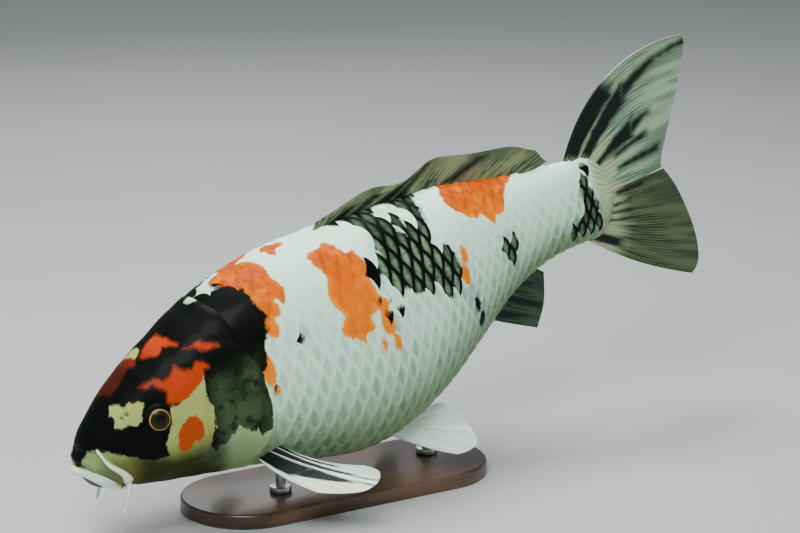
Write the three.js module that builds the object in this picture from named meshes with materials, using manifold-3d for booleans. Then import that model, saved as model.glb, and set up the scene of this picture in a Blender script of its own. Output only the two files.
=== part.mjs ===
// A koi carp at life size, swimming head down with a slight bend, held by a plain display stand.
// Millimetres, +Z up. The snout points toward -X and the fish's left side toward -Y.
// The origin is the middle of the stand's underside.
//
// The fish is drawn in body coordinates: s runs along the spine from the snout to the tail,
// y is out to the fish's right, and z is up from the spine. place() bends and pitches them.

import * as THREE from 'three';
import { mergeVertices } from 'three/addons/utils/BufferGeometryUtils.js';
import Module from 'manifold-3d';

const wasm = await Module();
wasm.setup();

// ---- driving dimensions ----

const bodyLength = 530;        // snout to the end of the flesh at the tail
const pitch = 12.6;            // degrees that the head points down
const snout = { x: -238, y: -12, z: 86 };
const gap = 0.3;               // air between neighbouring pieces

// The spine turns to the fish's right behind the head, and back to its left at the tail.
const bends = [
  { from: 117, to: 318, turn: 11.2 },
  { from: 318, to: 530, turn: -15.3 },
];

// Height of the back, depth of the belly and half width at stations along the body.
const stations = [
  { s: 0, top: -18, bottom: -27.5, half: 8.5 },
  { s: 6, top: -3.5, bottom: -39, half: 18 },
  { s: 21, top: 13, bottom: -46.5, half: 26.5 },
  { s: 48, top: 33.5, bottom: -54, half: 35.5 },
  { s: 80, top: 51, bottom: -62, half: 43 },
  { s: 111, top: 66, bottom: -69, half: 49 },
  { s: 143, top: 77, bottom: -77.5, half: 53 },
  { s: 186, top: 84.5, bottom: -92, half: 57 },
  { s: 233, top: 84, bottom: -104, half: 58.5 },
  { s: 276, top: 81, bottom: -102.5, half: 56 },
  { s: 323, top: 76.5, bottom: -90, half: 50.5 },
  { s: 371, top: 69.5, bottom: -68.5, half: 41.5 },
  { s: 413, top: 59.5, bottom: -47.5, half: 32 },
  { s: 456, top: 50.5, bottom: -34, half: 23 },
  { s: 493, top: 46, bottom: -30.5, half: 16 },
  { s: 530, top: 44, bottom: -32.5, half: 9 },
];
const noseCap = { tip: -3, start: 6 };       // the flesh rounds off ahead of start
const tailCap = { tip: 541, start: 512 };    // and behind start

const napeCut = 127;           // head from trunk
const middleCut = 265;         // front of the trunk from its rear
const stalkCut = 420;          // trunk from tail stalk

const eye = { s: 59, y: 33.2, z: 3.5, radius: 10, depth: 6, axis: [-0.23, 0.95, 0.17] };
const mouth = { front: -1, frontZ: -20, corner: 24, cornerZ: -43, half: 19.5, fall: 1.7, lip: 3.4 };
const cover = { proud: 1.2, sunk: 2.4 };     // gill cover above and below the flesh

const base = { length: 270, width: 104, thickness: 12 };
const rod = { radius: 4, sunk: 12, sides: 14, stations: [165, 318] };
const collar = { radius: 9, height: 5 };

// ---- the shape of the body ----

const mix = (a, b, t) => a + (b - a) * t;
const clamp = (t) => Math.min(1, Math.max(0, t));
const ease = (t) => clamp(t) ** 2 * (3 - 2 * clamp(t));
const radians = THREE.MathUtils.degToRad;

// A smooth curve through one measure of the stations.
function profile(measure, s) {
  const at = Math.min(bodyLength, Math.max(0, s));
  let i = stations.findIndex((row) => row.s >= at);
  i = Math.max(1, i);
  const slope = (k) => {
    const before = stations[Math.max(0, k - 1)];
    const after = stations[Math.min(stations.length - 1, k + 1)];
    return (after[measure] - before[measure]) / (after.s - before.s);
  };
  const left = stations[i - 1];
  const right = stations[i];
  const span = right.s - left.s;
  const t = (at - left.s) / span;
  const value = mix(left[measure], right[measure], t * t * (3 - 2 * t));
  return value + span * (t * (1 - t) ** 2 * slope(i - 1) - t * t * (1 - t) * slope(i));
}

// How full the section is: 1 along the body, 0 at the tip of the nose and of the tail.
function fullness(s) {
  if (s < noseCap.start) {
    return Math.sqrt(Math.max(0, 1 - ((noseCap.start - s) / (noseCap.start - noseCap.tip)) ** 2));
  }
  if (s > tailCap.start) {
    return Math.sqrt(Math.max(0, 1 - ((s - tailCap.start) / (tailCap.tip - tailCap.start)) ** 2));
  }
  return 1;
}

// A point of the flesh at station s, angle round the body, grown outward by grow.
function fleshPoint(s, angle, grow) {
  const full = fullness(s);
  const top = profile('top', s);
  const bottom = profile('bottom', s);
  const middle = 0.45 * top + 0.55 * bottom;
  const across = Math.cos(angle);
  const up = Math.sin(angle);
  const reach = up > 0 ? top - middle : middle - bottom;
  const roundness = up > 0 ? 0.95 : 0.9;
  const y = Math.sign(across) * Math.abs(across) ** 0.92 * (profile('half', s) + grow) * full;
  const z = middle + Math.sign(up) * Math.abs(up) ** roundness * (reach + grow) * full;
  return new THREE.Vector3(s, y, z);
}

// The spine, one step for each millimetre.
const spine = [{ x: 0, y: 0, heading: 0 }];
for (let s = 1; s <= bodyLength; s += 1) {
  const last = spine[s - 1];
  const turns = bends.map((bend) => bend.turn * ease((s - bend.from) / (bend.to - bend.from)));
  const heading = radians(turns[0] + turns[1]);
  spine.push({ x: last.x + Math.cos(heading), y: last.y + Math.sin(heading), heading });
}

// Body coordinates to the stand's.
function place(point) {
  const at = Math.min(bodyLength, Math.max(0, point.x));
  const index = Math.min(bodyLength - 1, Math.floor(at));
  const here = spine[index];
  const next = spine[index + 1];
  const heading = mix(here.heading, next.heading, at - index);
  const past = point.x - at;
  const x = mix(here.x, next.x, at - index) + past * Math.cos(heading) - point.y * Math.sin(heading);
  const y = mix(here.y, next.y, at - index) + past * Math.sin(heading) + point.y * Math.cos(heading);
  const tilted = new THREE.Vector3(x, y, point.z).applyAxisAngle(new THREE.Vector3(0, 1, 0), -radians(pitch));
  return tilted.add(new THREE.Vector3(snout.x, snout.y, snout.z));
}

// ---- solids ----

// A closed geometry whose vertices are moved by a function becomes a solid with its faces out.
function solid(geometry, move = (point) => point) {
  geometry.deleteAttribute('normal');
  geometry.deleteAttribute('uv');
  const merged = mergeVertices(geometry, 1e-3);
  const source = merged.getAttribute('position');
  const points = [];
  for (let i = 0; i < source.count; i += 1) {
    points.push(move(new THREE.Vector3().fromBufferAttribute(source, i)));
  }
  const faces = [];
  let volume = 0;
  for (let i = 0; i < merged.index.count; i += 3) {
    const [a, b, c] = [0, 1, 2].map((k) => merged.index.getX(i + k));
    if (a !== b && b !== c && c !== a) {
      faces.push([a, b, c]);
      volume += points[a].dot(points[b].clone().cross(points[c]));
    }
  }
  const outward = volume > 0 ? faces : faces.map(([a, b, c]) => [a, c, b]);
  return new wasm.Manifold(new wasm.Mesh({
    numProp: 3,
    vertProperties: new Float32Array(points.flatMap((point) => point.toArray())),
    triVerts: new Uint32Array(outward.flat()),
  }));
}

// What is left of a cut piece, without its crumbs.
function largest(piece) {
  const parts = piece.decompose();
  return parts.reduce((best, part) => (part.volume() > best.volume() ? part : best));
}

// The whole body, its surface moved out by grow. The sphere's poles are the snout and the tail.
function flesh(grow) {
  return solid(new THREE.SphereGeometry(1, 24, 34), (point) => {
    const along = (1 - point.y) / 2;
    const ring = fleshPoint(mix(noseCap.tip, tailCap.tip, along), Math.atan2(point.z, point.x), grow);
    ring.x = mix(noseCap.tip - grow, tailCap.tip + grow, along);
    return place(ring);
  });
}

// A length of space between two stations, square to the spine at both ends.
function slab(from, to) {
  const length = to - from;
  const box = new THREE.BoxGeometry(length, 300, 400, 8, 1, 1);
  box.translate(from + length / 2, 0, 0);
  return solid(box, place);
}

// An outline in the plane of s and z, taken across the fish from one y to another.
function prism(outline, fromY, toY) {
  const extruded = new THREE.ExtrudeGeometry(outline, { depth: toY - fromY, bevelEnabled: false });
  return solid(extruded, (point) => place(new THREE.Vector3(point.x, fromY + point.z, point.y)));
}

// A round tube along a curve of body coordinates, its radius going from start to end.
function taperedTube(curve, start, end, sides, steps) {
  const height = 1;
  const rod = new THREE.CylinderGeometry(1, 1, height, sides, steps);
  return solid(rod, (point) => {
    const t = clamp(point.y / height + 0.5);
    const along = curve.getTangent(t);
    const side = new THREE.Vector3(0, 0, 1).cross(along).normalize();
    const other = along.clone().cross(side);
    const reach = mix(start, end, t);
    const centre = curve.getPoint(t);
    return place(centre.addScaledVector(side, point.x * reach).addScaledVector(other, point.z * reach));
  });
}

// A fin: a thin plate over the surface ray(u, v), u from the first ray to the last, v out along it.
function fin(ray, { root, edge, rays, steps }) {
  const step = 0.01;
  return solid(new THREE.BoxGeometry(1, 1, 1, rays, steps, 1), (point) => {
    const u = point.x + 0.5;
    const v = point.y + 0.5;
    const acrossRays = ray(Math.min(1, u + step), v).sub(ray(Math.max(0, u - step), v));
    const alongRay = ray(u, Math.min(1, v + step)).sub(ray(u, Math.max(0, v - step)));
    const normal = acrossRays.cross(alongRay).normalize();
    return place(ray(u, v).addScaledVector(normal, point.z * mix(root, edge, Math.sqrt(v))));
  });
}

const bodyPoint = (s, y, z) => new THREE.Vector3(s, y, z);

const whole = flesh(0);
const wholeGrown = flesh(gap + 0.05);
const trimmed = (plate) => largest(plate.subtract(wholeGrown));

// ---- eyes ----

function eyeball(side, grow) {
  const axis = bodyPoint(eye.axis[0], eye.axis[1] * side, eye.axis[2]).normalize();
  const turn = new THREE.Quaternion().setFromUnitVectors(bodyPoint(0, 1, 0), axis);
  const centre = bodyPoint(eye.s, eye.y * side, eye.z);
  return solid(new THREE.SphereGeometry(1, 16, 8), (point) => {
    point.multiply(bodyPoint(eye.radius + grow, eye.depth + grow, eye.radius + grow));
    return place(point.applyQuaternion(turn).add(centre));
  });
}

// ---- mouth: the cleft slopes down from the front to the corners ----

const cleftDepth = (s) => clamp((s - mouth.front) / (mouth.corner - mouth.front));
const cleftZ = (s) => mix(mouth.frontZ, mouth.cornerZ, cleftDepth(s) ** mouth.fall);

// A lip follows the cleft as a horseshoe; offset moves it square to the cleft.
function lip(offset, radius) {
  const points = [];
  for (let degrees = -90; degrees <= 90; degrees += 15) {
    const s = mouth.corner - (mouth.corner - mouth.front) * Math.cos(radians(degrees));
    const y = mouth.half * Math.sin(radians(degrees));
    const slope = (cleftZ(s + 0.5) - cleftZ(s - 0.5));
    const normal = new THREE.Vector2(-slope, 1).normalize();
    points.push(bodyPoint(s + offset * normal.x, y, cleftZ(s) + offset * normal.y));
  }
  return taperedTube(new THREE.CatmullRomCurve3(points), radius, radius, 8, 12);
}

// Everything of the head below the cleft and ahead of the chin.
function jawRegion(shrink) {
  const outline = new THREE.Shape();
  outline.moveTo(-30, mouth.frontZ - shrink);
  for (let s = mouth.front; s < mouth.corner; s += 5) {
    outline.lineTo(s - shrink, cleftZ(s) - shrink);
  }
  outline.lineTo(mouth.corner - shrink, mouth.cornerZ - shrink);
  outline.lineTo(60 - shrink, -80);
  outline.lineTo(-30, -80);
  return prism(outline, -60, 60);
}

// ---- barbels: a long one at each corner of the mouth, a short one on the upper lip ----

const barbels = [
  { name: 'corner', start: 2, end: 0.8, path: [[27, 18, -38], [28, 22, -42], [24, 23.5, -51], [17, 22.5, -64]] },
  { name: 'front', start: 1.7, end: 0.8, path: [[11.5, 15, -9], [12.5, 20, -12], [15, 24, -19], [19, 26.5, -26]] },
];

function barbel({ path, start, end }, side, grow) {
  const points = path.map(([s, y, z]) => bodyPoint(s, y * side, z));
  return taperedTube(new THREE.CatmullRomCurve3(points), start + grow, end + grow, 6, 6);
}

// ---- gill covers ----

function coverOutline(grow) {
  const points = [
    [104, 34], [114, 42], [127, 36], [138, 16], [142.7, -14], [139, -36], [128, -52],
    [110, -60], [96, -55], [92, -38], [94, -12], [98, 12],
  ];
  const centre = new THREE.Vector2(116, -10);
  const outward = points.map(([s, z]) => {
    const point = new THREE.Vector2(s, z);
    return point.addScaledVector(point.clone().sub(centre).normalize(), grow);
  });
  const shape = new THREE.Shape();
  shape.moveTo(outward[0].x, outward[0].y);
  shape.splineThru([...outward.slice(1), outward[0]]);
  return new THREE.Shape(shape.getSpacedPoints(22).slice(0, -1));
}

const coverShell = flesh(cover.proud).subtract(flesh(-cover.sunk));
const coverBed = flesh(-cover.sunk - gap);
const coverRange = (side) => (side > 0 ? [12, 90] : [-90, -12]);
const gillCover = (side) => largest(prism(coverOutline(0), ...coverRange(side)).intersect(coverShell));
const gillSlot = (side) => {
  const [from, to] = coverRange(side);
  return prism(coverOutline(gap), from - gap, to + gap).subtract(coverBed);
};

// ---- fins ----

// A ray that leaves its root at one angle and ends at another, in the plane of s and z.
function curvedRay(rootS, rootZ, startAngle, endAngle, length, lateral, v) {
  const [a, b] = [radians(startAngle), radians(endAngle)];
  const bent = 0.5 * v * v * length;
  const s = rootS + v * length * Math.cos(a) + bent * (Math.cos(b) - Math.cos(a));
  const z = rootZ + v * length * Math.sin(a) + bent * (Math.sin(b) - Math.sin(a));
  return bodyPoint(s, v * length * Math.tan(radians(lateral)), z);
}

// A lobe of the tail fin. spread is 1 at its outer edge and 0 at the fork.
const tailFin = { rootS: 500, rootZ: 5.5, rootDepth: 31, rootHalf: 38, forkLength: 65, forkLateral: 5 };
const upperLobe = { up: 1, reach: 94, start: 60, end: -9, extra: 136, power: 1.9, lateral: 4 };
const lowerLobe = { up: -1, reach: 72, start: 42, end: 26, extra: 74, power: 1.1, lateral: 8 };

function lobeRay({ up, reach, start, end, extra, power, lateral }, u, v) {
  const spread = 1 - u;
  const around = radians(reach * spread);
  const rootS = tailFin.rootS + tailFin.rootDepth * Math.cos(around);
  const rootZ = tailFin.rootZ + up * (gap + tailFin.rootHalf * Math.sin(around));
  const rounding = 1 - 0.05 * clamp((spread - 0.85) / 0.15) ** 2;
  const length = (tailFin.forkLength + extra * spread ** power) * rounding;
  const sideways = mix(tailFin.forkLateral, lateral, spread);
  return curvedRay(rootS, rootZ, up * start * spread, up * end * spread, length, sideways, v);
}

// The back fin is half folded: its rays lie back, low at the front and higher behind.
const dorsal = { from: 234, to: 450, sunk: 8 };

function dorsalRay(u, v) {
  const rootS = mix(dorsal.from, dorsal.to, u);
  const lean = 6 + 38 * ease(u / 0.07) - 11 * ease((u - 0.8) / 0.2);
  const notch = 3 * Math.exp(-(((u - 0.23) / 0.07) ** 2));
  const front = 5 + 9 * ease(u / 0.07) - notch + 9 * ease((u - 0.25) / 0.22);
  const height = front - 7 * ease((u - 0.78) / 0.18) - 12 * ease((u - 0.93) / 0.07);
  const rootZ = profile('top', rootS) - dorsal.sunk;
  const tipZ = profile('top', rootS + lean) + height;
  const s = rootS + lean * v ** 1.15;
  return bodyPoint(s, 0, mix(rootZ, tipZ, v ** 0.85));
}

function analRay(u, v) {
  const rootS = mix(386, 448, u);
  const rootZ = profile('bottom', rootS) + 7;
  const tipS = 446 + 15 * Math.sin(u * Math.PI / 2);
  const tipZ = mix(-88, -42, u);
  return bodyPoint(mix(rootS, tipS, v), 0, mix(rootZ, tipZ, v) - 3 * v * (1 - v));
}

// A paired fin fans from a short base. Three rays are given by root, tip and bow, the most that
// the ray stands off the straight line between them; the rays between follow smoothly.
function pairedRay(rays, side, u, v) {
  const weights = [(1 - u) * (1 - 2 * u), 4 * u * (1 - u), u * (2 * u - 1)];
  const at = (key) => rays.reduce(
    (sum, ray, i) => sum.addScaledVector(bodyPoint(...ray[key]), weights[i]), bodyPoint(0, 0, 0));
  const point = at('root').lerp(at('tip'), v).addScaledVector(at('bow'), 4 * v * (1 - v));
  point.y *= side;
  return point;
}

const pectoral = {
  left: [
    { root: [131, 33, -60], tip: [158, 99, -87.5], bow: [-8, 0, 4] },
    { root: [138, 36, -55], tip: [184, 106, -84], bow: [-6, 0, 1] },
    { root: [145, 38, -50], tip: [190, 99, -73], bow: [-5, 0, -3] },
  ],
  right: [
    { root: [131, 33, -60], tip: [160, 97, -70], bow: [-8, 0, 4] },
    { root: [138, 36, -55], tip: [187, 102, -64], bow: [-6, 0, 1] },
    { root: [145, 38, -50], tip: [193, 94, -54], bow: [-5, 0, -3] },
  ],
};
const pelvic = {
  left: [
    { root: [255, 17, -97], tip: [311, 53, -137], bow: [-1, 0, -3] },
    { root: [261, 14, -95], tip: [322, 43, -121], bow: [0, 0, -2] },
    { root: [268, 11, -92], tip: [314, 23, -94], bow: [0, 0, -1] },
  ],
  right: [
    { root: [255, 17, -97], tip: [312, 55, -130], bow: [-1, 0, -3] },
    { root: [261, 14, -95], tip: [322, 44, -117], bow: [0, 0, -2] },
    { root: [268, 11, -92], tip: [314, 23, -94], bow: [0, 0, -1] },
  ],
};

const backPlate = { root: 3.2, edge: 0.9, rays: 20, steps: 3 };
const analPlate = { root: 3.2, edge: 0.9, rays: 6, steps: 4 };
const pairedPlate = { root: 3, edge: 0.9, rays: 8, steps: 5 };
const tailPlate = { root: 4.2, edge: 0.9, rays: 8, steps: 5 };

// ---- stand ----

function upright(radius, from, to, x, y) {
  const cylinder = new THREE.CylinderGeometry(radius, radius, to - from, rod.sides);
  cylinder.rotateX(Math.PI / 2);
  cylinder.translate(x, y, (from + to) / 2);
  return solid(cylinder);
}

function standBase() {
  const round = base.width / 2;
  const straight = base.length / 2 - round;
  const shape = new THREE.Shape();
  shape.moveTo(-straight, -round);
  shape.lineTo(straight, -round);
  shape.absarc(straight, 0, round, -Math.PI / 2, Math.PI / 2);
  shape.lineTo(-straight, round);
  shape.absarc(-straight, 0, round, Math.PI / 2, Math.PI * 1.5);
  return solid(new THREE.ExtrudeGeometry(shape, { depth: base.thickness, bevelEnabled: false, curveSegments: 12 }));
}

const supports = rod.stations.map((s) => {
  const belly = place(bodyPoint(s, 0, profile('bottom', s)));
  const foot = base.thickness / 2;
  const top = belly.z + rod.sunk;
  return {
    bar: upright(rod.radius, foot, top, belly.x, belly.y),
    socket: upright(rod.radius + gap, foot - gap, top + gap, belly.x, belly.y),
    ring: upright(collar.radius, base.thickness + gap, base.thickness + gap + collar.height, belly.x, belly.y),
  };
});
const sockets = supports[0].socket.add(supports[1].socket);

// ---- the pieces ----

const sides = [{ name: 'left', sign: -1 }, { name: 'right', sign: 1 }];
let bodyCut = whole.subtract(sockets);
let lips = { upper: lip(mouth.lip + 0.3, mouth.lip), lower: lip(-mouth.lip - 0.3, mouth.lip) };
const lipBeds = lip(mouth.lip + 0.3, mouth.lip + gap).add(lip(-mouth.lip - 0.3, mouth.lip + gap));
bodyCut = bodyCut.subtract(lipBeds);
const feelers = [];
for (const { name, sign } of sides) {
  bodyCut = bodyCut.subtract(gillSlot(sign)).subtract(eyeball(sign, gap));
  for (const feeler of barbels) {
    const bed = barbel(feeler, sign, gap);
    bodyCut = bodyCut.subtract(bed);
    lips = { upper: lips.upper.subtract(bed), lower: lips.lower.subtract(bed) };
    feelers.push({ name: `barbel_${feeler.name}_${name}`, shape: barbel(feeler, sign, 0) });
  }
}

const pieces = [];
const add = (name, shape, finish) => pieces.push({ name, shape, finish });
const white = { color: 0xe9ece4, roughness: 0.35, metalness: 0 };
const dark = { color: 0x23282a, roughness: 0.35, metalness: 0 };
const olive = { color: 0x8c8a68, roughness: 0.4, metalness: 0 };
const membrane = { color: 0xc9cdbd, roughness: 0.45, metalness: 0 };
const gold = { color: 0xb98a2c, roughness: 0.15, metalness: 0.2 };
const walnut = { color: 0x3c2618, roughness: 0.45, metalness: 0 };
const steel = { color: 0xb9bcc0, roughness: 0.3, metalness: 1 };

const headPart = bodyCut.intersect(slab(-60, napeCut - gap / 2));
add('head', largest(headPart.subtract(jawRegion(-gap / 2))), dark);
add('jaw_lower', largest(headPart.intersect(jawRegion(gap / 2))), white);
add('lip_upper', largest(lips.upper), olive);
add('lip_lower', largest(lips.lower), white);
add('trunk_front', largest(bodyCut.intersect(slab(napeCut + gap / 2, middleCut - gap / 2))), white);
add('trunk_rear', largest(bodyCut.intersect(slab(middleCut + gap / 2, stalkCut - gap / 2))), white);
add('tail_stalk', largest(bodyCut.intersect(slab(stalkCut + gap / 2, 600))), white);
for (const { name, sign } of sides) {
  add(`gill_cover_${name}`, gillCover(sign), olive);
  add(`eye_${name}`, eyeball(sign, 0), gold);
  add(`fin_pectoral_${name}`, trimmed(fin((u, v) => pairedRay(pectoral[name], sign, u, v), pairedPlate)), white);
  add(`fin_pelvic_${name}`, trimmed(fin((u, v) => pairedRay(pelvic[name], sign, u, v), pairedPlate)), white);
}
for (const { name, shape } of feelers) {
  add(name, shape, white);
}
add('fin_dorsal', trimmed(fin(dorsalRay, backPlate)), membrane);
add('fin_anal', trimmed(fin(analRay, analPlate)), membrane);
add('fin_caudal_upper', trimmed(fin((u, v) => lobeRay(upperLobe, u, v), tailPlate)), membrane);
add('fin_caudal_lower', trimmed(fin((u, v) => lobeRay(lowerLobe, u, v), tailPlate)), membrane);

add('stand_base', standBase().subtract(sockets), walnut);
supports.forEach(({ bar, socket, ring }, index) => {
  const name = ['front', 'rear'][index];
  add(`stand_rod_${name}`, bar, steel);
  add(`stand_collar_${name}`, ring.subtract(socket), steel);
});

// ---- the scene graph ----

const koi = new THREE.Group();
koi.name = 'koi_carp_on_stand';
for (const { name, shape, finish } of pieces) {
  const mesh = shape.getMesh();
  const geometry = new THREE.BufferGeometry();
  geometry.setAttribute('position', new THREE.BufferAttribute(mesh.vertProperties, 3));
  geometry.setIndex(new THREE.BufferAttribute(mesh.triVerts, 1));
  geometry.computeVertexNormals();
  const piece = new THREE.Mesh(geometry, new THREE.MeshStandardMaterial(finish));
  piece.name = name;
  koi.add(piece);
}

export default koi;
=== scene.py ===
import bpy
import math
import numpy as np
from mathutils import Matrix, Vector


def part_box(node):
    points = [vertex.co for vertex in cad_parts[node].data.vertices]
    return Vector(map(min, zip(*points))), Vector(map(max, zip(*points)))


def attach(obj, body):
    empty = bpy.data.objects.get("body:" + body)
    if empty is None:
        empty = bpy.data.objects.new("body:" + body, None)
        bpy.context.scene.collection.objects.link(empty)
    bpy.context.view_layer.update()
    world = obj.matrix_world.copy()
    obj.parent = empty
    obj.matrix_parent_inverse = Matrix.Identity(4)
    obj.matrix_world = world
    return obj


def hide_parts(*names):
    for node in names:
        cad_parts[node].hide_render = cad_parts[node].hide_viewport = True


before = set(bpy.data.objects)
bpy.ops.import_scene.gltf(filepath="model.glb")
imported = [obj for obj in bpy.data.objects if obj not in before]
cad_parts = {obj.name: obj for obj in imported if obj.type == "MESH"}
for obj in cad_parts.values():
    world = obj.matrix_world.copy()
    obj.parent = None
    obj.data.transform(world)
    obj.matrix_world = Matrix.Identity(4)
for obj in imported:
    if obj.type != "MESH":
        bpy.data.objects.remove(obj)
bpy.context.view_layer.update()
print("frame loaded")


# Small helpers

def clearSelection():
    if bpy.context.object and bpy.context.object.mode != "OBJECT":
        bpy.ops.object.mode_set(mode="OBJECT")
    bpy.ops.object.select_all(action="DESELECT")


def selectOnly(obj):
    clearSelection()
    obj.select_set(True)
    bpy.context.view_layer.objects.active = obj


def applyModifiers(obj):
    selectOnly(obj)
    for modifier in list(obj.modifiers):
        bpy.ops.object.modifier_apply(modifier=modifier.name)


def finishPiece(obj, name, material, nodes, degrees, weld=False):
    # faces turned outward and smoothed, then the piece's name, look and place in the frame
    selectOnly(obj)
    bpy.ops.object.mode_set(mode="EDIT")
    bpy.ops.mesh.select_all(action="SELECT")
    if weld:
        bpy.ops.mesh.remove_doubles(threshold=1e-6)
    bpy.ops.mesh.normals_make_consistent(inside=False)
    bpy.ops.object.mode_set(mode="OBJECT")
    bpy.ops.object.shade_smooth_by_angle(angle=math.radians(degrees))
    obj.name = name
    obj.data.name = name
    obj.data.materials.clear()
    obj.data.materials.append(material)
    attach(obj, "root")
    if nodes:
        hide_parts(*nodes)
    print(name + ":", len(obj.data.polygons), "faces")


def readPoints(mesh):
    flat = np.empty(len(mesh.vertices) * 3, np.float32)
    mesh.vertices.foreach_get("co", flat)
    return flat.reshape(-1, 3).astype(float)


def writePoints(mesh, points):
    mesh.vertices.foreach_set("co", points.astype(np.float32).ravel())


def addFloats(mesh, **fields):
    for name, values in fields.items():
        attribute = mesh.attributes.new(name, "FLOAT", "POINT")
        attribute.data.foreach_set("value", np.asarray(values, np.float32).ravel())


def newSheet(columns, rows):
    # a flat grid to be bent, with the place of each point on it, from 0 to 1
    clearSelection()
    bpy.ops.mesh.primitive_grid_add(x_subdivisions=columns, y_subdivisions=rows, size=1)
    sheet = bpy.context.object
    flat = np.clip(readPoints(sheet.data) + 0.5, 0, 1)
    return sheet, flat[:, 0], flat[:, 1]


def unit(vectors):
    return vectors / np.maximum(np.linalg.norm(vectors, axis=-1, keepdims=True), 1e-14)


def mix(a, b, t):
    return a + (b - a) * t


def bell(distance, width):
    return np.exp(-(distance / width) ** 2)


def relief(distance, *swells):
    # soft ridges and grooves, each with its place, width and height
    return sum(height * bell(distance - at, width) for at, width, height in swells)


def stepped(value, start, *rises):
    # a start, with rises eased in one after another, each with its height and where it begins and ends
    return start + sum(height * ease(value, *span) for height, *span in rises)


def ease(value, zeroAt=0, oneAt=1):
    # 0 as far as zeroAt, 1 from oneAt on and eased between, for numbers and for node values
    if isinstance(value, Value):
        limits = {"Value": value, "From Min": zeroAt, "From Max": oneAt}
        return Value(addNode(value.tree, "ShaderNodeMapRange", limits, interpolation_type="SMOOTHSTEP"))
    t = np.clip((value - zeroAt) / (oneAt - zeroAt), 0, 1)
    return t * t * (3 - 2 * t)


# Node helpers

class Value:
    # what a node gives, so that sums and products of such values read as plain maths
    def __init__(self, node, output=0):
        self.tree = node.id_data
        self.socket = node.outputs[output]

    def __add__(self, other):
        return maths("ADD", self, other)

    def __sub__(self, other):
        return maths("SUBTRACT", self, other)

    def __rsub__(self, other):
        return maths("SUBTRACT", other, self)

    def __mul__(self, other):
        return maths("MULTIPLY", self, other)


def newMaterial(name):
    material = bpy.data.materials.new(name)
    material.use_nodes = True
    material.node_tree.nodes.clear()
    return material, material.node_tree


def addNode(tree, kind, inputs=None, **settings):
    made = tree.nodes.new(kind)
    for key, value in settings.items():
        setattr(made, key, value)
    for key, value in (inputs or {}).items():
        socket = made.inputs[key]
        if isinstance(value, Value):
            tree.links.new(value.socket, socket)
        else:
            socket.default_value = (*value, 1) if socket.type == "RGBA" else value
    return made


def maths(operation, *values):
    tree = next(value.tree for value in values if isinstance(value, Value))
    return Value(addNode(tree, "ShaderNodeMath", dict(enumerate(values)), operation=operation))


def paint(colour, *layers, **settings):
    # lays colours over one another, each with how much of it shows
    settings["data_type"] = "RGBA"
    for share, over in layers:
        colour = Value(addNode(share.tree, "ShaderNodeMix", {0: share, 6: colour, 7: over}, **settings), 2)
    return colour


def readFloat(tree, name):
    return Value(addNode(tree, "ShaderNodeAttribute", attribute_name=name), "Fac")


def vectorOf(x, y):
    return Value(addNode(x.tree, "ShaderNodeCombineXYZ", {0: x, 1: y}))


def objectPlace(tree, stretch=None):
    spot = Value(addNode(tree, "ShaderNodeTexCoord"), "Object")
    if stretch:
        spot = Value(addNode(tree, "ShaderNodeMapping", {"Vector": spot, "Scale": stretch}))
    return spot


def scalePlace(tree):
    return Value(addNode(tree, "ShaderNodeUVMap", uv_map="scale"))


def noiseAt(vector, scale, detail=3, roughness=0.5):
    inputs = {"Vector": vector, "Scale": scale, "Detail": detail, "Roughness": roughness}
    return Value(addNode(vector.tree, "ShaderNodeTexNoise", inputs), "Fac")


def bumpFrom(height, strength, distance, normal=None):
    inputs = {"Height": height, "Strength": strength, "Distance": distance}
    if normal:
        inputs["Normal"] = normal
    return Value(addNode(height.tree, "ShaderNodeBump", inputs))


def surfaceShader(colour, normal, finish):
    inputs = {"Base Color": colour} | finish
    if normal:
        inputs["Normal"] = normal
    shader = Value(addNode(colour.tree, "ShaderNodeBsdfPrincipled", inputs))
    addNode(colour.tree, "ShaderNodeOutputMaterial", {"Surface": shader})


# The body's measures in millimetres: s along the spine from the snout, y to the fish's right, z up

fish = {
    "length": 530, "pitch": 12.6, "snout": (-238, -12, 86),
    "bends": ((117, 318, 11.2), (318, 530, -15.3)),   # from, to, turn in degrees
    "noseTip": -3, "noseFull": 6, "tailTip": 541, "tailFull": 512,
    "midHeight": 0.55, "sideRoundness": 0.92, "backRoundness": 0.95, "bellyRoundness": 0.9,
}

# along the spine: height of the back, depth of the belly, half width
stations = {
    0: (-18, -27.5, 8.5), 6: (-3.5, -39, 18), 21: (13, -46.5, 26.5), 48: (33.5, -54, 35.5),
    80: (51, -62, 43), 111: (66, -69, 49), 143: (77, -77.5, 53), 186: (84.5, -92, 57),
    233: (84, -104, 58.5), 276: (81, -102.5, 56), 323: (76.5, -90, 50.5), 371: (69.5, -68.5, 41.5),
    413: (59.5, -47.5, 32), 456: (50.5, -34, 23), 493: (46, -30.5, 16), 530: (44, -32.5, 9),
}
stationS = np.array(list(stations), float)
stationRows = np.array(list(stations.values()), float)


def profile(measure, s):
    # a smooth curve through one measure of the stations
    at = np.clip(s, 0, fish["length"])
    k = np.clip(np.searchsorted(stationS, at) - 1, 0, len(stationS) - 2)
    values = stationRows[:, measure]
    rise, run = (np.pad(row, 1, mode="edge") for row in (values, stationS))
    slopes = (rise[2:] - rise[:-2]) / (run[2:] - run[:-2])
    span = stationS[k + 1] - stationS[k]
    t = (at - stationS[k]) / span
    bow = t * (1 - t) ** 2 * slopes[k] - t * t * (1 - t) * slopes[k + 1]
    return mix(values[k], values[k + 1], ease(t)) + span * bow


def fullness(s):
    # 1 along the body, rounding off to 0 at the snout's tip and the tail's
    nose = np.maximum(fish["noseFull"] - s, 0) / (fish["noseFull"] - fish["noseTip"])
    tail = np.maximum(s - fish["tailFull"], 0) / (fish["tailTip"] - fish["tailFull"])
    return np.sqrt(np.maximum(1 - nose ** 2 - tail ** 2, 0))


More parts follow.
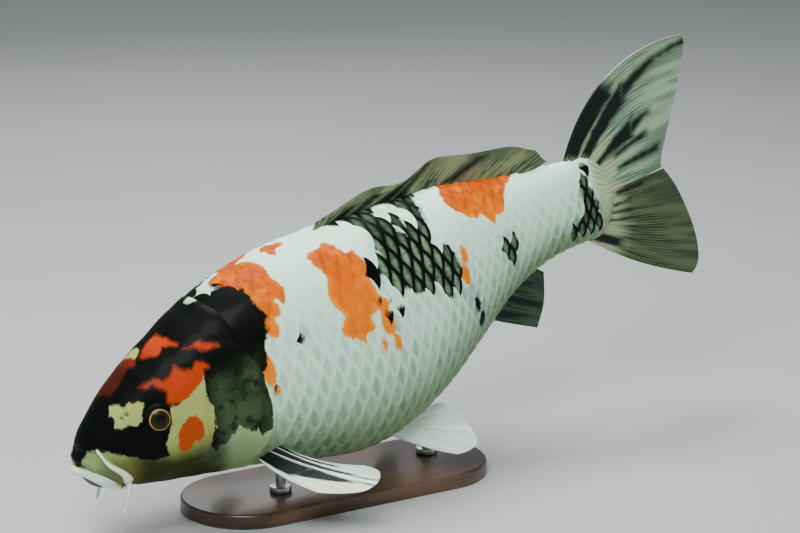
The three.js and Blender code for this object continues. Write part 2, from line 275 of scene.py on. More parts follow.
def fleshPoint(s, angle, grow=0.0):
    full = fullness(s)
    top = profile(0, s)
    bottom = profile(1, s)
    middle = mix(top, bottom, fish["midHeight"])
    across = np.cos(angle)
    up = np.sin(angle)
    reach = np.where(up > 0, top - middle, middle - bottom) + grow
    roundness = np.where(up > 0, fish["backRoundness"], fish["bellyRoundness"])
    y = np.sign(across) * np.abs(across) ** fish["sideRoundness"] * (profile(2, s) + grow) * full
    z = middle + np.sign(up) * np.abs(up) ** roundness * reach * full
    return np.stack([s + 0 * angle, y, z], -1)


def traceSpine():
    steps = np.arange(fish["length"] + 1.0)
    heading = sum(math.radians(turn) * ease(steps, start, end) for start, end, turn in fish["bends"])
    x, y = (np.concatenate([[0], np.cumsum(part(heading[1:]))]) for part in (np.cos, np.sin))
    return steps, x, y, heading


spineS, spineX, spineY, spineHeading = traceSpine()


def place(points):
    # body coordinates in millimetres to the stand's in metres
    s, across, up = np.moveaxis(np.asarray(points, float), -1, 0)
    at = np.clip(s, 0, fish["length"])
    heading = np.interp(at, spineS, spineHeading)
    x = np.interp(at, spineS, spineX) + (s - at) * np.cos(heading) - across * np.sin(heading)
    y = np.interp(at, spineS, spineY) + (s - at) * np.sin(heading) + across * np.cos(heading)
    pitch = math.radians(fish["pitch"])
    tilted = [x * math.cos(pitch) - up * math.sin(pitch), y, x * math.sin(pitch) + up * math.cos(pitch)]
    return (np.stack(tilted, -1) + fish["snout"]) / 1000


# Girth is the distance round the body from the middle of the back: positive down the left side,
# negative down the right

girthGrid = {"noseGap": 0.05, "step": 0.9995, "angles": 241}
girthS = np.arange(fish["noseTip"] + girthGrid["noseGap"], fish["tailTip"], girthGrid["step"])
girthAngles = np.radians(np.linspace(90, 270, girthGrid["angles"]))


def traceGirth():
    rings = fleshPoint(girthS[:, None], girthAngles[None, :])
    steps = np.linalg.norm(np.diff(rings[..., 1:], axis=1), axis=-1)
    arcs = np.concatenate([np.zeros((len(girthS), 1)), np.cumsum(steps, axis=1)], axis=1)
    shares = np.linspace(0, 1, len(girthAngles))
    angles = np.stack([np.interp(shares * arc[-1], arc, girthAngles) for arc in arcs])
    return arcs[:, -1], angles


halfGirths, girthTable = traceGirth()


def halfGirth(s):
    return np.interp(s, girthS, halfGirths)


def angleAt(s, girth):
    share = girth / halfGirth(s)
    share = share - 2 * np.round(share / 2)
    row = np.clip((s - girthS[0]) / girthGrid["step"], 0, len(girthS) - 1.001)
    column = np.clip(np.abs(share), 0, 1) * (len(girthAngles) - 1.001)
    i = row.astype(int)
    j = column.astype(int)
    near, far = (mix(girthTable[k, j], girthTable[k, j + 1], column - j) for k in (i, i + 1))
    angle = mix(near, far, row - i)
    return np.where(share >= 0, angle, math.pi - angle)


def onBody(s, girth, grow=0.0):
    return fleshPoint(s, angleAt(s, girth), grow)


# Camera, lights and floor

view = {"azimuth": -31.803, "elevation": 15.652, "distance": 2.0, "lens": 113.9625, "sensor": 36,
        "aim": (258.6, 0, 57.9), "shift": (0.04226, 0.06228), "farthest": 50}
lights = {"key": ((-0.95, -1.05, 1.55), 0.8, 36), "top": ((0.05, 0.30, 1.9), 1.1, 56),   # place, size, power
          "fill": ((1.5, -1.3, 0.6), 1.2, 4), "rim": ((0.6, 1.6, 1.1), 1.0, 6)}
studio = {"lampAim": (0, 0, 0.16), "air": (0.86, 0.90, 0.92, 1), "airLight": 0.30, "floorSize": 16,
          "floorDark": (0.37, 0.385, 0.39), "floorPale": (0.41, 0.425, 0.43)}


def aimAt(obj, target):
    obj.rotation_euler = (Vector(target) - obj.location).to_track_quat("-Z", "Y").to_euler()


def setCamera():
    target = Vector((np.array(view["aim"]) + fish["snout"]) / 1000)
    azimuth = math.radians(view["azimuth"])
    elevation = math.radians(view["elevation"])
    back = Vector((math.sin(azimuth) * math.cos(elevation), -math.cos(azimuth) * math.cos(elevation),
                   math.sin(elevation)))
    bpy.ops.object.camera_add(location=target + back * view["distance"])
    camera = bpy.context.object
    camera.name = "camera"
    aimAt(camera, target)
    camera.data.lens = view["lens"]
    camera.data.sensor_width = view["sensor"]
    camera.data.shift_x, camera.data.shift_y = view["shift"]
    camera.data.clip_end = view["farthest"]
    bpy.context.scene.camera = camera


def setLights():
    for name, (spot, size, power) in lights.items():
        bpy.ops.object.light_add(type="AREA", location=spot)
        lamp = bpy.context.object
        lamp.name = "light_" + name
        lamp.data.size = size
        lamp.data.energy = power
        aimAt(lamp, studio["lampAim"])
    world = bpy.data.worlds.new("studio")
    bpy.context.scene.world = world
    world.use_nodes = True
    air = world.node_tree.nodes["Background"].inputs
    air["Color"].default_value = studio["air"]
    air["Strength"].default_value = studio["airLight"]


def layFloor():
    bpy.ops.mesh.primitive_plane_add(size=studio["floorSize"], location=(0, 0, 0))
    floor = bpy.context.object
    floor.name = "floor"
    material, tree = newMaterial("paleFloor")
    patches = noiseAt(objectPlace(tree), 3)
    surfaceShader(paint(studio["floorDark"], (patches, studio["floorPale"])), None, {"Roughness": 0.7})
    floor.data.materials.append(material)


clearSelection()
setCamera()
setLights()
layFloor()
print("camera, lights and floor set")


# Markings: outlines and blots in s and girth, both in millimetres

capOutline = [   # on both sides of the head alike
    (-12, -40), (-12, 8), (2, 9), (7, 17), (14, 28), (24, 45), (36, 63), (48, 79), (59, 86), (58, 75),
    (65, 67), (68, 56), (78, 50), (90, 51), (99, 56), (96, 72), (98, 84), (95, 98), (91, 111), (96, 119),
    (104, 117), (114, 113), (120, 120), (127, 125), (131, 134), (140, 134), (143, 112), (142, 96),
    (146, 78), (152, 65), (158, 53), (152, 38), (155, 26), (149, 17), (138, 12), (131, 9), (124, 0),
    (124, -40)]
blackPatches = {
    "saddle": [
        (264, 12), (271, 28), (264, 44), (259, 60), (263, 82), (282, 86), (300, 88), (318, 96), (335, 104),
        (338, 86), (339, 66), (322, 56), (324, 36), (328, 18), (338, 3), (345, -10), (300, -14), (262, -8),
        (251, 2)],
    "tailBase": [
        (507, 19), (511, 22), (509, 27), (514, 32), (518, 42), (521, 56), (519, 74), (513, 66), (509, 75),
        (503, 62), (499, 74), (493, 66), (487, 72), (487, 62), (495, 54), (501, 46), (503, 30)],
    "sideSpot": [
        (396, 66), (402, 60), (409, 63), (416, 60), (418, 67), (411, 71), (414, 79), (408, 86), (403, 80),
        (396, 78), (400, 72)],
}
nostrilPatch = [   # a clear place in the black
    (31, 12), (28, 17), (30, 22), (27, 27), (31, 33), (37, 37), (41, 42), (46, 44), (48, 39), (52, 36),
    (49, 31), (45, 30), (43, 25), (39, 25), (36, 17)]
redPatches = {
    "forehead": [
        (33, -16), (33, -6), (35, 7), (42, 9), (56, 5), (60, 8), (64, 3), (64, -6), (62, -13), (50, -17),
        (38, -20)],
    "crown": [
        (66, 6), (69, 11), (73, 16), (77, 19), (83, 15), (87, 21), (90, 26), (93, 25), (89, 16), (87, 7),
        (86, 0), (80, -1), (74, 1)],
    "eyePatch": [
        (52, 23), (56, 29), (62, 32), (65, 38), (69, 44), (67, 50), (70, 54), (75, 57), (82, 60), (88, 61),
        (93, 60), (98, 59), (100, 54), (105, 57), (103, 50), (97, 45), (92, 48), (86, 41), (82, 34),
        (76, 37), (71, 36), (66, 29), (59, 26)],
    "behindEye": [
        (92, 29), (95, 33), (101, 37), (103, 43), (108, 46), (117, 49), (111, 42), (104, 34), (98, 33)],
    "cheekSpot": [
        (68, 79), (71, 74), (79, 73), (85, 76), (88, 84), (88, 95), (83, 97), (79, 93), (74, 97), (68, 92),
        (66, 86)],
    "orangeNape": [
        (138, -5), (140, 14), (150, 22), (152, 60), (158, 76), (164, 70), (164, 61), (170, 57), (170, 48),
        (177, 52), (182, 42), (176, 33), (177, 18), (171, 2), (160, -8)],
    "orangeSide": [
        (211, 26), (220, 25), (229, 21), (238, 27), (240, 36), (247, 38), (251, 48), (247, 62), (250, 76),
        (252, 86), (238, 90), (238, 102), (230, 104), (227, 111), (221, 103), (211, 99), (210, 93),
        (215, 84), (208, 66), (215, 52), (211, 38)],
    "orangeBack": [
        (371, -8), (366, 6), (358, 16), (357, 30), (370, 40), (380, 45), (386, 40), (396, 49), (404, 42),
        (416, 36), (423, 22), (432, 12), (445, 2), (440, -8), (405, -12)],
    "rightCheek": [
        (72, -72), (78, -68), (86, -70), (92, -76), (93, -86), (88, -93), (84, -90), (78, -94), (73, -88),
        (75, -81)],
    "rightTemple": [
        (62, -33), (72, -29), (80, -34), (85, -41), (96, -44), (107, -50), (101, -57), (92, -55),
        (86, -59), (80, -51), (74, -50), (68, -43)],
    "rightNape": [
        (148, -6), (160, -3), (174, -6), (181, -14), (193, -20), (198, -31), (190, -40), (194, -52),
        (184, -60), (182, -72), (175, -79), (169, -70), (160, -66), (162, -54), (153, -46), (156, -33),
        (149, -24), (152, -14)],
    "rightSide": [
        (230, -15), (240, -19), (250, -16), (259, -24), (258, -35), (268, -44), (271, -56), (262, -63),
        (266, -76), (257, -82), (255, -97), (247, -101), (242, -111), (235, -103), (237, -92), (227, -84),
        (229, -72), (236, -64), (230, -52), (237, -42), (231, -30)],
    "rightBack": [
        (350, -5), (364, -2), (378, -6), (392, -3), (407, -9), (421, -13), (417, -24), (424, -33),
        (413, -41), (408, -52), (396, -49), (389, -60), (379, -52), (370, -55), (367, -43), (357, -40),
        (362, -28), (353, -18)],
}

# centre s, centre girth, half length, half width, tilt in degrees
blots = {
    "red": [
        (146, 90, 5.8, 16, -8), (149, 108, 3.5, 6, 0), (196, 1, 10, 7, 0), (191, 10, 4, 6, 0),
        (251, 100, 6, 11, 0), (242, 117, 2.6, 7, 0), (254.5, 118, 2.4, 6.5, 0), (251, 86, 5, 5, 0),
        (348, 70, 4, 7.5, 0), (344.5, 86, 5, 9, 0), (206, -118, 9, 12, 0)],
    "black": [
        (254, 62, 8, 10, 0), (253.5, 97, 4.6, 6.5, 0), (149, 106, 5, 6.5, 0), (230, 53, 1.6, 1.6, 0),
        (249, 78, 3.2, 2, 0), (257, 84, 2.2, 7, 0), (175, 84, 5, 5.4, 0), (265, 93, 3, 3, 0),
        (350, 112, 5.4, 8, 0), (357, 129, 2.6, 4.2, 0), (141, 9, 3, 5, -30), (512, 13, 3, 3, 0),
        (73, 56, 3.4, 1.8, 25)],
    "rightBlack": [
        (216, -88, 12, 12, 0), (292, -54, 20, 24, 0), (306, -86, 13, 12, 0), (300, -20, 22, 14, 0),
        (368, -78, 11, 12, 0), (436, -46, 9, 9, 0), (504, -44, 9, 16, 0), (188, -98, 6, 6, 0)],
    "clear": [
        (304, 12, 5, 12, -22), (298, 37, 4, 5, 0), (288, 10, 2.6, 8, -20), (312, 26, 4, 7, 0),
        (296, 14, 3, 6, 30), (310, 6, 3, 8, -50), (318, 30, 3, 5, 20), (306, 26, 3, 7, 10),
        (267, 46, 2, 5, 0), (127, 0, 11, 7, 0), (66, -6, 6, 8, 0), (36, 26, 1.2, 1.2, 0)],
}
markLimit = 20   # markings farther off than this don't matter


def highest(*fields):
    return np.maximum.reduce(fields)


def outlineField(points, s, girth):
    # signed distance in millimetres, positive inside a closed outline
    points = np.array(points, float)
    best = np.full(s.shape, 1e9)
    inside = np.zeros(s.shape, bool)
    for (ax, ay), (bx, by) in zip(points, np.roll(points, -1, axis=0)):
        alongX, alongY = bx - ax, by - ay
        t = np.clip(((s - ax) * alongX + (girth - ay) * alongY) / (alongX ** 2 + alongY ** 2), 0, 1)
        best = np.minimum(best, np.hypot(s - ax - t * alongX, girth - ay - t * alongY))
        crosses = (ay > girth) != (by > girth)
        inside ^= crosses & (s < ax + (girth - ay) * alongX / np.where(alongY == 0, 1e-9, alongY))
    return np.where(inside, best, -best)


def blotField(colour, s, girth):
    fields = []
    for centreS, centreG, halfS, halfG, tilt in blots[colour]:
        turn = math.radians(tilt)
        across = (s - centreS) * math.cos(turn) + (girth - centreG) * math.sin(turn)
        along = (girth - centreG) * math.cos(turn) - (s - centreS) * math.sin(turn)
        fields.append((1 - np.hypot(across / halfS, along / halfG)) * min(halfS, halfG))
    return highest(*fields)


def redField(s, girth):
    patches = [outlineField(points, s, girth) for points in redPatches.values()]
    return highest(blotField("red", s, girth), *patches)


paleNet = {"fade": 2, "onBack": 0.30, "flank": (34, 50), "small": 0.8}


def blackFields(s, girth):
    # how far inside the black a point is, and how much of the pale net its scales show there
    patches = {name: outlineField(points, s, girth) for name, points in blackPatches.items()}
    clear = highest(blotField("clear", s, girth), outlineField(nostrilPatch, s, girth))
    cap = outlineField(capOutline, s, np.abs(girth))
    rightBlack = blotField("rightBlack", s, girth)
    black = np.minimum(highest(cap, *patches.values()), -clear)
    saddle = np.clip(patches["saddle"] / paleNet["fade"], 0, 1)
    small = np.clip(highest(patches["tailBase"], patches["sideSpot"]) / paleNet["fade"] + 0.5, 0, 1)
    small = highest(small, np.clip(rightBlack / paleNet["fade"], 0, 1))
    onFlank = mix(paleNet["onBack"], 1, ease(girth, *paleNet["flank"]))
    net = highest(saddle * onFlank, small * paleNet["small"])
    return highest(black, blotField("black", s, girth), rightBlack), net


def addMarkings(mesh, s, girth, redS, redGirth):
    black, net = blackFields(s, girth)
    addFloats(mesh, red=np.clip(redField(redS, redGirth), -markLimit, markLimit),
              black=np.clip(black, -markLimit, markLimit), net=net,
              alongBody=s, roundBody=np.abs(girth) / halfGirth(s))


# Koi colours, shared by the skin and the scales

# painted shade: the belly's olive, the near-black under the jaw and the crease colour; the scales' centre
# colour is partly painted shade
tints = {
    "white": (0.66, 0.96, 0.77), "centre": (0.34, 0.56, 0.41), "belly": (0.155, 0.225, 0.095),
    "scaleGreyAndPaintedShade": (0.42, 0.50, 0.45), "underShade": (0.24, 0.38, 0.40), "black": (0.0018, 0.0030, 0.0024),
    "net": (0.155, 0.265, 0.155), "olive": (0.052, 0.084, 0.038), "orange": (0.80, 0.155, 0),
    "gold": (0.92, 0.270, 0.001), "orangeDeep": (0.80, 0.130, 0), "orangeHigh": (0.34, 0.038, 0),
    "red": (0.42, 0.040, 0.006), "cheek": (0.38, 0.058, 0.009), "deepRed": (0.050, 0.0085, 0.0045),
    "cream": (0.30, 0.33, 0.050), "jaw": (0.018, 0.020, 0.006), "muzzle": (0.22, 0.29, 0.11),
    "lip": (0.80, 0.92, 0.78), "lipEdge": (0.60, 0.40, 0.08), "coverLow": (0.34, 0.50, 0.24),
    "tailRoot": (0.42, 0.50, 0.28), "crease": (0.03, 0.035, 0.02),
}
# where each share is 0 and where it is 1: in s, and as a share of the way from back to belly
lengthZones = {
    "head": (150, 108), "headStrokes": (126, 104), "behindHead": (124, 130), "headRed": (136, 112),
    "forehead": (84, 50), "napeFront": (84, 100), "muzzle": (30, 20), "snout": (66, 28), "chin": (44, 22),
    "throat": (96, 112), "coverLow": (98, 108), "oliveFront": (92, 108), "oliveRear": (148, 138),
    "combFront": (90, 100), "combRear": (140, 126), "rim": (160, 175), "tailRoot": (511, 526),
    "tailRays": (514, 526),
}
roundZones = {
    "nape": (0.24, 0.10), "ridge": (0.34, 0.10), "flank": (0.16, 0.60), "olive": (0.30, 0.46),
    "cheek": (0.38, 0.52), "comb": (0.42, 0.60), "belly": (0.46, 0.80), "underJaw": (0.53, 0.70),
}
hideFinish = {"Roughness": 0.5, "Specular IOR Level": 0.045, "Coat Weight": 0.02, "Coat Roughness": 0.15,
              "Subsurface Weight": 0.06, "Subsurface Scale": 0.004}
scaleFinish = hideFinish | {"Roughness": 0.48, "Coat Weight": 0.03, "Subsurface Weight": 0.05,
                            "Subsurface Scale": 0.003}


def koiColours(tree, scaled):
    spot = objectPlace(tree)
    along = readFloat(tree, "alongBody")
    around = readFloat(tree, "roundBody")

    def inLength(name):
        return ease(along, *lengthZones[name])

    def inRound(name):
        return ease(around, *roundZones[name])

    # edges of the markings: wavy, brushed on the head, combed low on the gill cover
    fine = noiseAt(spot, 260, 4) - 0.5
    wide = noiseAt(spot, 70) - 0.5
    wobble = fine * 3 + wide * 5
    brush = (noiseAt(spot, 620) - 0.5) * 3.4 * inLength("headStrokes")
    comb = (noiseAt(vectorOf(along * 0.22, around * 3), 1) - 0.5) * 15
    comb = comb * inLength("combFront") * inLength("combRear") * inRound("comb")
    red = readFloat(tree, "red") + wobble + brush
    black = readFloat(tree, "black") + wobble * 0.8 + brush + comb
    redMask = ease(red, -0.9, 0.9)
    softRed = ease(red, -1.8, 2.2)
    blackMask = ease(black, -0.7, 0.8)

    # the white ground: olive-grey low on the side, which is painted shade, cream on the cheek, and under
    # the jaw a dark olive, most of it painted shade, with the rays' roots at the tail; black that lies
    # deeper shows as a blue-grey rim here and there
    head = inLength("head")
    nape = inLength("napeFront") * inRound("nape")
    # the dark under the jaw is mostly painted shade over a dark olive, lighter at the throat and the chin
    jaw = ease(around + inLength("snout") * 0.12, *roundZones["underJaw"]) * head
    jaw = jaw * (1 - inLength("throat") * 0.55) * (1 - inLength("chin") * 0.40)
    rays = ease(noiseAt(vectorOf(around * 34, along * 0.05), 1, 2), 0.42, 0.62) * inLength("tailRays")
    streak = noiseAt(spot, 34, 4)
    rim = ease(black, -7, -0.8) * ease(noiseAt(spot, 46, 2), 0.46, 0.62) * inLength("rim")
    # painted shade: the olive low on the belly and the near-black under the jaw
    ground = paint(tints["white"], (inRound("belly") * 0.90, tints["belly"]),
                   (head * (1 - nape) * 0.92, tints["cream"]),
                   (inLength("coverLow") * head, tints["coverLow"]),
                   (inLength("muzzle"), tints["muzzle"]),
                   (jaw * 0.96, tints["jaw"]),
                   (inLength("tailRoot") * 0.8, tints["tailRoot"]),
                   (rays * 0.65, tints["muzzle"]),
                   (ease(streak, 0.5, 0.8) * 0.16, tints["centre"]),
                   (rim * 0.6, tints["underShade"]))

    # orange is golden at its edge on the body, red on the head and darkest on the forehead
    headRed = paint(tints["red"], (inRound("cheek"), tints["cheek"]),
                    (inLength("forehead") * inRound("ridge"), tints["deepRed"]))
    orange = paint(tints["gold"], (ease(red, 0.5, 6), tints["orange"]),
                   (inRound("ridge") * 0.85, tints["orangeHigh"]),
                   (ease(noiseAt(spot, 95, 4), 0.46, 0.70) * 0.55, tints["gold"]),
                   (inLength("headRed"), headRed))

    # the gill cover's black is mottled with olive
    mottle = ease(streak, 0.20, 0.60) * (1 - ease(noiseAt(spot, 130, 5), 0.50, 0.66) * 0.7)
    cover = inLength("oliveFront") * inLength("oliveRear") * inRound("olive")
    ink = paint(tints["black"], (cover * mottle, tints["olive"]))
    if scaled:
        local = addNode(tree, "ShaderNodeSeparateXYZ", {"Vector": scalePlace(tree)})
        across = Value(local, "X")
        back = Value(local, "Y")
        # gaps from the scale's own rear edge and from the edges of the scales in front
        edge = (1 - across * across) * 0.5
        rearGap = edge - back + fine * 0.16
        frontGap = edge + back + wide * 0.16
        tone = readFloat(tree, "tone")
        cloudy = ease(noiseAt(spot, 190, 4), 0.34, 0.60)
        netShare = ease(rearGap, 0.16, 0.44) * ease(frontGap, 0.14, 0.46) * readFloat(tree, "net")
        netShare = netShare * (tone * 0.65 + 0.5) * (cloudy * 0.65 + 0.55)
        centre = ease(rearGap, 0.06, 0.46) * ease(frontGap, 0, 0.48)
        # the scales' centres are greyer, and darkened further by painted shade under the edges of the scales
        # in front, the more so low on the flank
        shade = centre * (inRound("flank") * 0.86 + 0.14) * (tone * 0.55 + 0.45) * (cloudy * 0.3 + 0.7)
        ink = paint(ink, (netShare, tints["net"]))
        ground = paint(ground, (shade, tints["scaleGreyAndPaintedShade"]), blend_type="MULTIPLY")
        orange = paint(orange, (centre * 0.35, tints["orangeDeep"]))

    # on the head the red lies over the black, behind it the black lies over the orange
    overInk = blackMask * softRed + (1 - blackMask) * redMask
    onHead = paint(ground, (blackMask, ink), (overInk, orange))
    behind = paint(ground, (redMask, orange), (blackMask, ink))
    return paint(onHead, (inLength("behindHead"), behind)), spot


def koiHide():
    material, tree = newMaterial("koiHide")
    colour, spot = koiColours(tree, False)
    # pale lips, a tan line at their edge, and painted shade in the creases
    colour = paint(colour, (ease(readFloat(tree, "lip"), 0.15, 0.75), tints["lip"]),
                   (readFloat(tree, "lipLine"), tints["lipEdge"]),
                   (readFloat(tree, "crease") * 0.75, tints["crease"]))
    normal = bumpFrom(noiseAt(spot, 900, 2), 0.10, 0.0004)
    normal = bumpFrom(noiseAt(spot, 120, 4), 0.22, 0.0012, normal)
    surfaceShader(colour, normal, hideFinish)
    return material


def koiScale():
    material, tree = newMaterial("koiScale")
    colour, spot = koiColours(tree, True)
    rings = addNode(tree, "ShaderNodeTexWave", {"Vector": scalePlace(tree), "Scale": 7, "Distortion": 1.5,
                                                "Detail": 2}, wave_type="RINGS", rings_direction="Z")
    normal = bumpFrom(Value(rings, "Fac"), 0.08, 0.0003)
    normal = bumpFrom(noiseAt(spot, 300), 0.10, 0.0005, normal)
    surfaceShader(colour, normal, scaleFinish)
    return material


hideMaterial = koiHide()
scaleMaterial = koiScale()
print("koi materials made")


# The skin: a sheet wrapped round the body and stitched along the back, the snout and the tail

skinGrid = {"noseRings": 26, "mouthStep": 0.5, "mouthTo": 32, "headStep": 0.95, "headTo": 150,
            "sculptTo": 152, "bodyStep": 4.0, "tailRings": 14, "columns": 280, "endGap": 0.06,
            "normalStep": 0.25, "normalShare": 0.004, "curveSteps": 90, "coverSteps": 200}
coat = {"depth": 1.5, "sinkOver": 7, "napeFrom": 118, "flankFrom": 128, "throatFrom": 124,
        "flankGirth": (0, 50), "throatGirth": (130, 160), "underCover": (-2.0, -4.5)}
eye = {"s": 59, "y": 33.2, "z": 3.5, "radius": 10, "depth": 6, "axis": (-0.23, 0.95, 0.17), "opening": 8.5,
       "socket": 5.0, "socketEdge": (0.4, -0.8), "facing": (-6, -2),
       "rim": ((1.5, 1.3, 0.75), (4.4, 1.3, -0.5))}   # place, width and height of each swell
mouth = {"front": -1, "frontZ": -20, "corner": 24, "cornerZ": -43, "half": 19.5, "fall": 1.7,
         "lips": ((4.2, 3.2, 1.9), (0, 0.9, -2.8), (-5.0, 3.7, 2.9), (-11.0, 2.0, -1.5)),
         "cornerFade": (0.49, 0.40), "wrap": 112, "steps": 190, "tintFrom": (0, -0.8),
         "tintTo": (-9.8, -8.6), "line": (-0.9, 0.8, 0.8), "crease": 0.9}
# each nostril pit: its place, width and depth, and how wide the painted shade in it spreads
nostril = {"s": 36, "z": 12, "side": (12, 17), "flap": (0.8, 2.6, 0.9, 0.5),
           "pits": ((-1.9, -0.8, 1.1, 2.0, 1.0), (2.0, 1.0, 1.3, 2.4, 1.3))}   # place, width, depth, dark
gillCover = {"side": (14, 22), "rear": (106, 124), "high": (8, 28), "highLoss": 0.8,
             "slant": 0.20, "slantFrom": -10, "steps": ((1.5, -0.4, 1.0), (0.5, -3.6, -2.4)),
             "edge": ((-5.0, 1.5, -0.9), (4.0, 1.4, -0.35)), "crease": (-4.4, 1.0, 0.8), "outline": [
    (104, 34), (114, 42), (127, 36), (138, 16), (142.7, -14), (139, -36), (128, -52), (110, -60), (96, -55),
    (92, -38), (94, -12), (98, 12)]}
headFolds = {   # height, width, and the path in s, y and z of the right side
    "preopercle": (-0.9, 1.7, [(99, 46, 16), (97, 46, 6), (94, 46, -8), (92, 43, -31), (85, 40, -37),
                               (72, 37, -39)]),
    "underEye": (-0.5, 2.6, [(34, 31, -8), (44, 36, -14), (56, 40, -17), (68, 42, -15), (78, 43, -8)]),
    "throat": (-1.0, 1.8, [(112, 30, -60), (92, 28, -58), (70, 22, -56), (50, 14, -53)]),
    "chin": (-0.9, 2.2, [(27, 19, -44), (34, 15, -48), (36, 8, -51), (37, 0, -52)]),
    "rostral": (-1.0, 1.1, [(2, 0, -9.5), (4, 9, -9.5), (8, 15, -8), (11, 19, -3.5)]),
}
foldEnds = (-0.024, 0.096)   # how a fold fades in and out, as a share of its length
jawFold = {"swells": ((0, 1.7, 1.5), (3.4, 1.0, -0.8)), "tint": (1.5, 2.6, 0.9), "line": (2.2, 0.5, 0.5),
           "lineFrom": 15, "path": [
    (10.5, 17, -5), (12.5, 20, -11), (15.5, 23.5, -19.5), (20, 25.5, -25), (25, 25.5, -31), (28, 23.5, -38)]}


def ringStations():
    noseTip, noseFull, tailFull = fish["noseTip"], fish["noseFull"], fish["tailFull"]
    quarter = math.pi / 2
    nose = noseTip + (noseFull - noseTip) * (1 - np.cos(np.linspace(0, quarter, skinGrid["noseRings"])))
    muzzle = np.arange(noseFull + skinGrid["mouthStep"], skinGrid["mouthTo"], skinGrid["mouthStep"])
    head = np.arange(skinGrid["mouthTo"], skinGrid["headTo"], skinGrid["headStep"])
    trunk = np.arange(skinGrid["headTo"], tailFull - 1, skinGrid["bodyStep"])
    tail = mix(tailFull, fish["tailTip"], np.sin(np.linspace(0, quarter, skinGrid["tailRings"])))
    return np.concatenate([nose, muzzle, head, trunk, tail])


def curvePoints(points, count):
    # a smooth path through a few points
    points = np.array(points, float)
    padded = np.vstack([2 * points[0] - points[1], points, 2 * points[-1] - points[-2]])
    t = np.linspace(0, len(points) - 1.0001, count)
    i = t.astype(int)
    f = (t - i)[:, None]
    a, b, c, d = (padded[i + k] for k in range(4))
    bow = (2 * a - 5 * b + 4 * c - d) * f ** 2 + (3 * b - a - 3 * c + d) * f ** 3
    return 0.5 * (2 * b + (c - a) * f + bow)


def closedCurve(points, count):
    # a smooth loop: its first points come again at the end, and what laps over is cut off
    lap = curvePoints(points + points[:3], count)
    return lap[:math.ceil(count * len(points) / (len(points) + 2))]


coverOutline = closedCurve(gillCover["outline"], skinGrid["coverSteps"])


def insideCover(points):
    # signed distance inside the gill cover, seen from the side
    return outlineField(coverOutline, points[:, 0], points[:, 2])


def distanceTo(path, points):
    # distance to the path and how far along it the nearest point is, 0 to 1
    best = np.full(len(points), 1e9)
    share = np.zeros(len(points))
    for k, spot in enumerate(path):
        far = np.linalg.norm(points - spot, axis=1)
        share = np.where(far < best, k / (len(path) - 1), share)
        best = np.minimum(best, far)
    return best, share


def cleftPath():
    turn = np.radians(np.linspace(-mouth["wrap"], mouth["wrap"], mouth["steps"]))
    s = mouth["corner"] - (mouth["corner"] - mouth["front"]) * np.cos(turn)
    depth = np.clip((s - mouth["front"]) / (mouth["corner"] - mouth["front"]), 0, 1)
    z = mix(mouth["frontZ"], mouth["cornerZ"], depth ** mouth["fall"])
    return np.stack([s, mouth["half"] * np.sin(turn), z], -1)


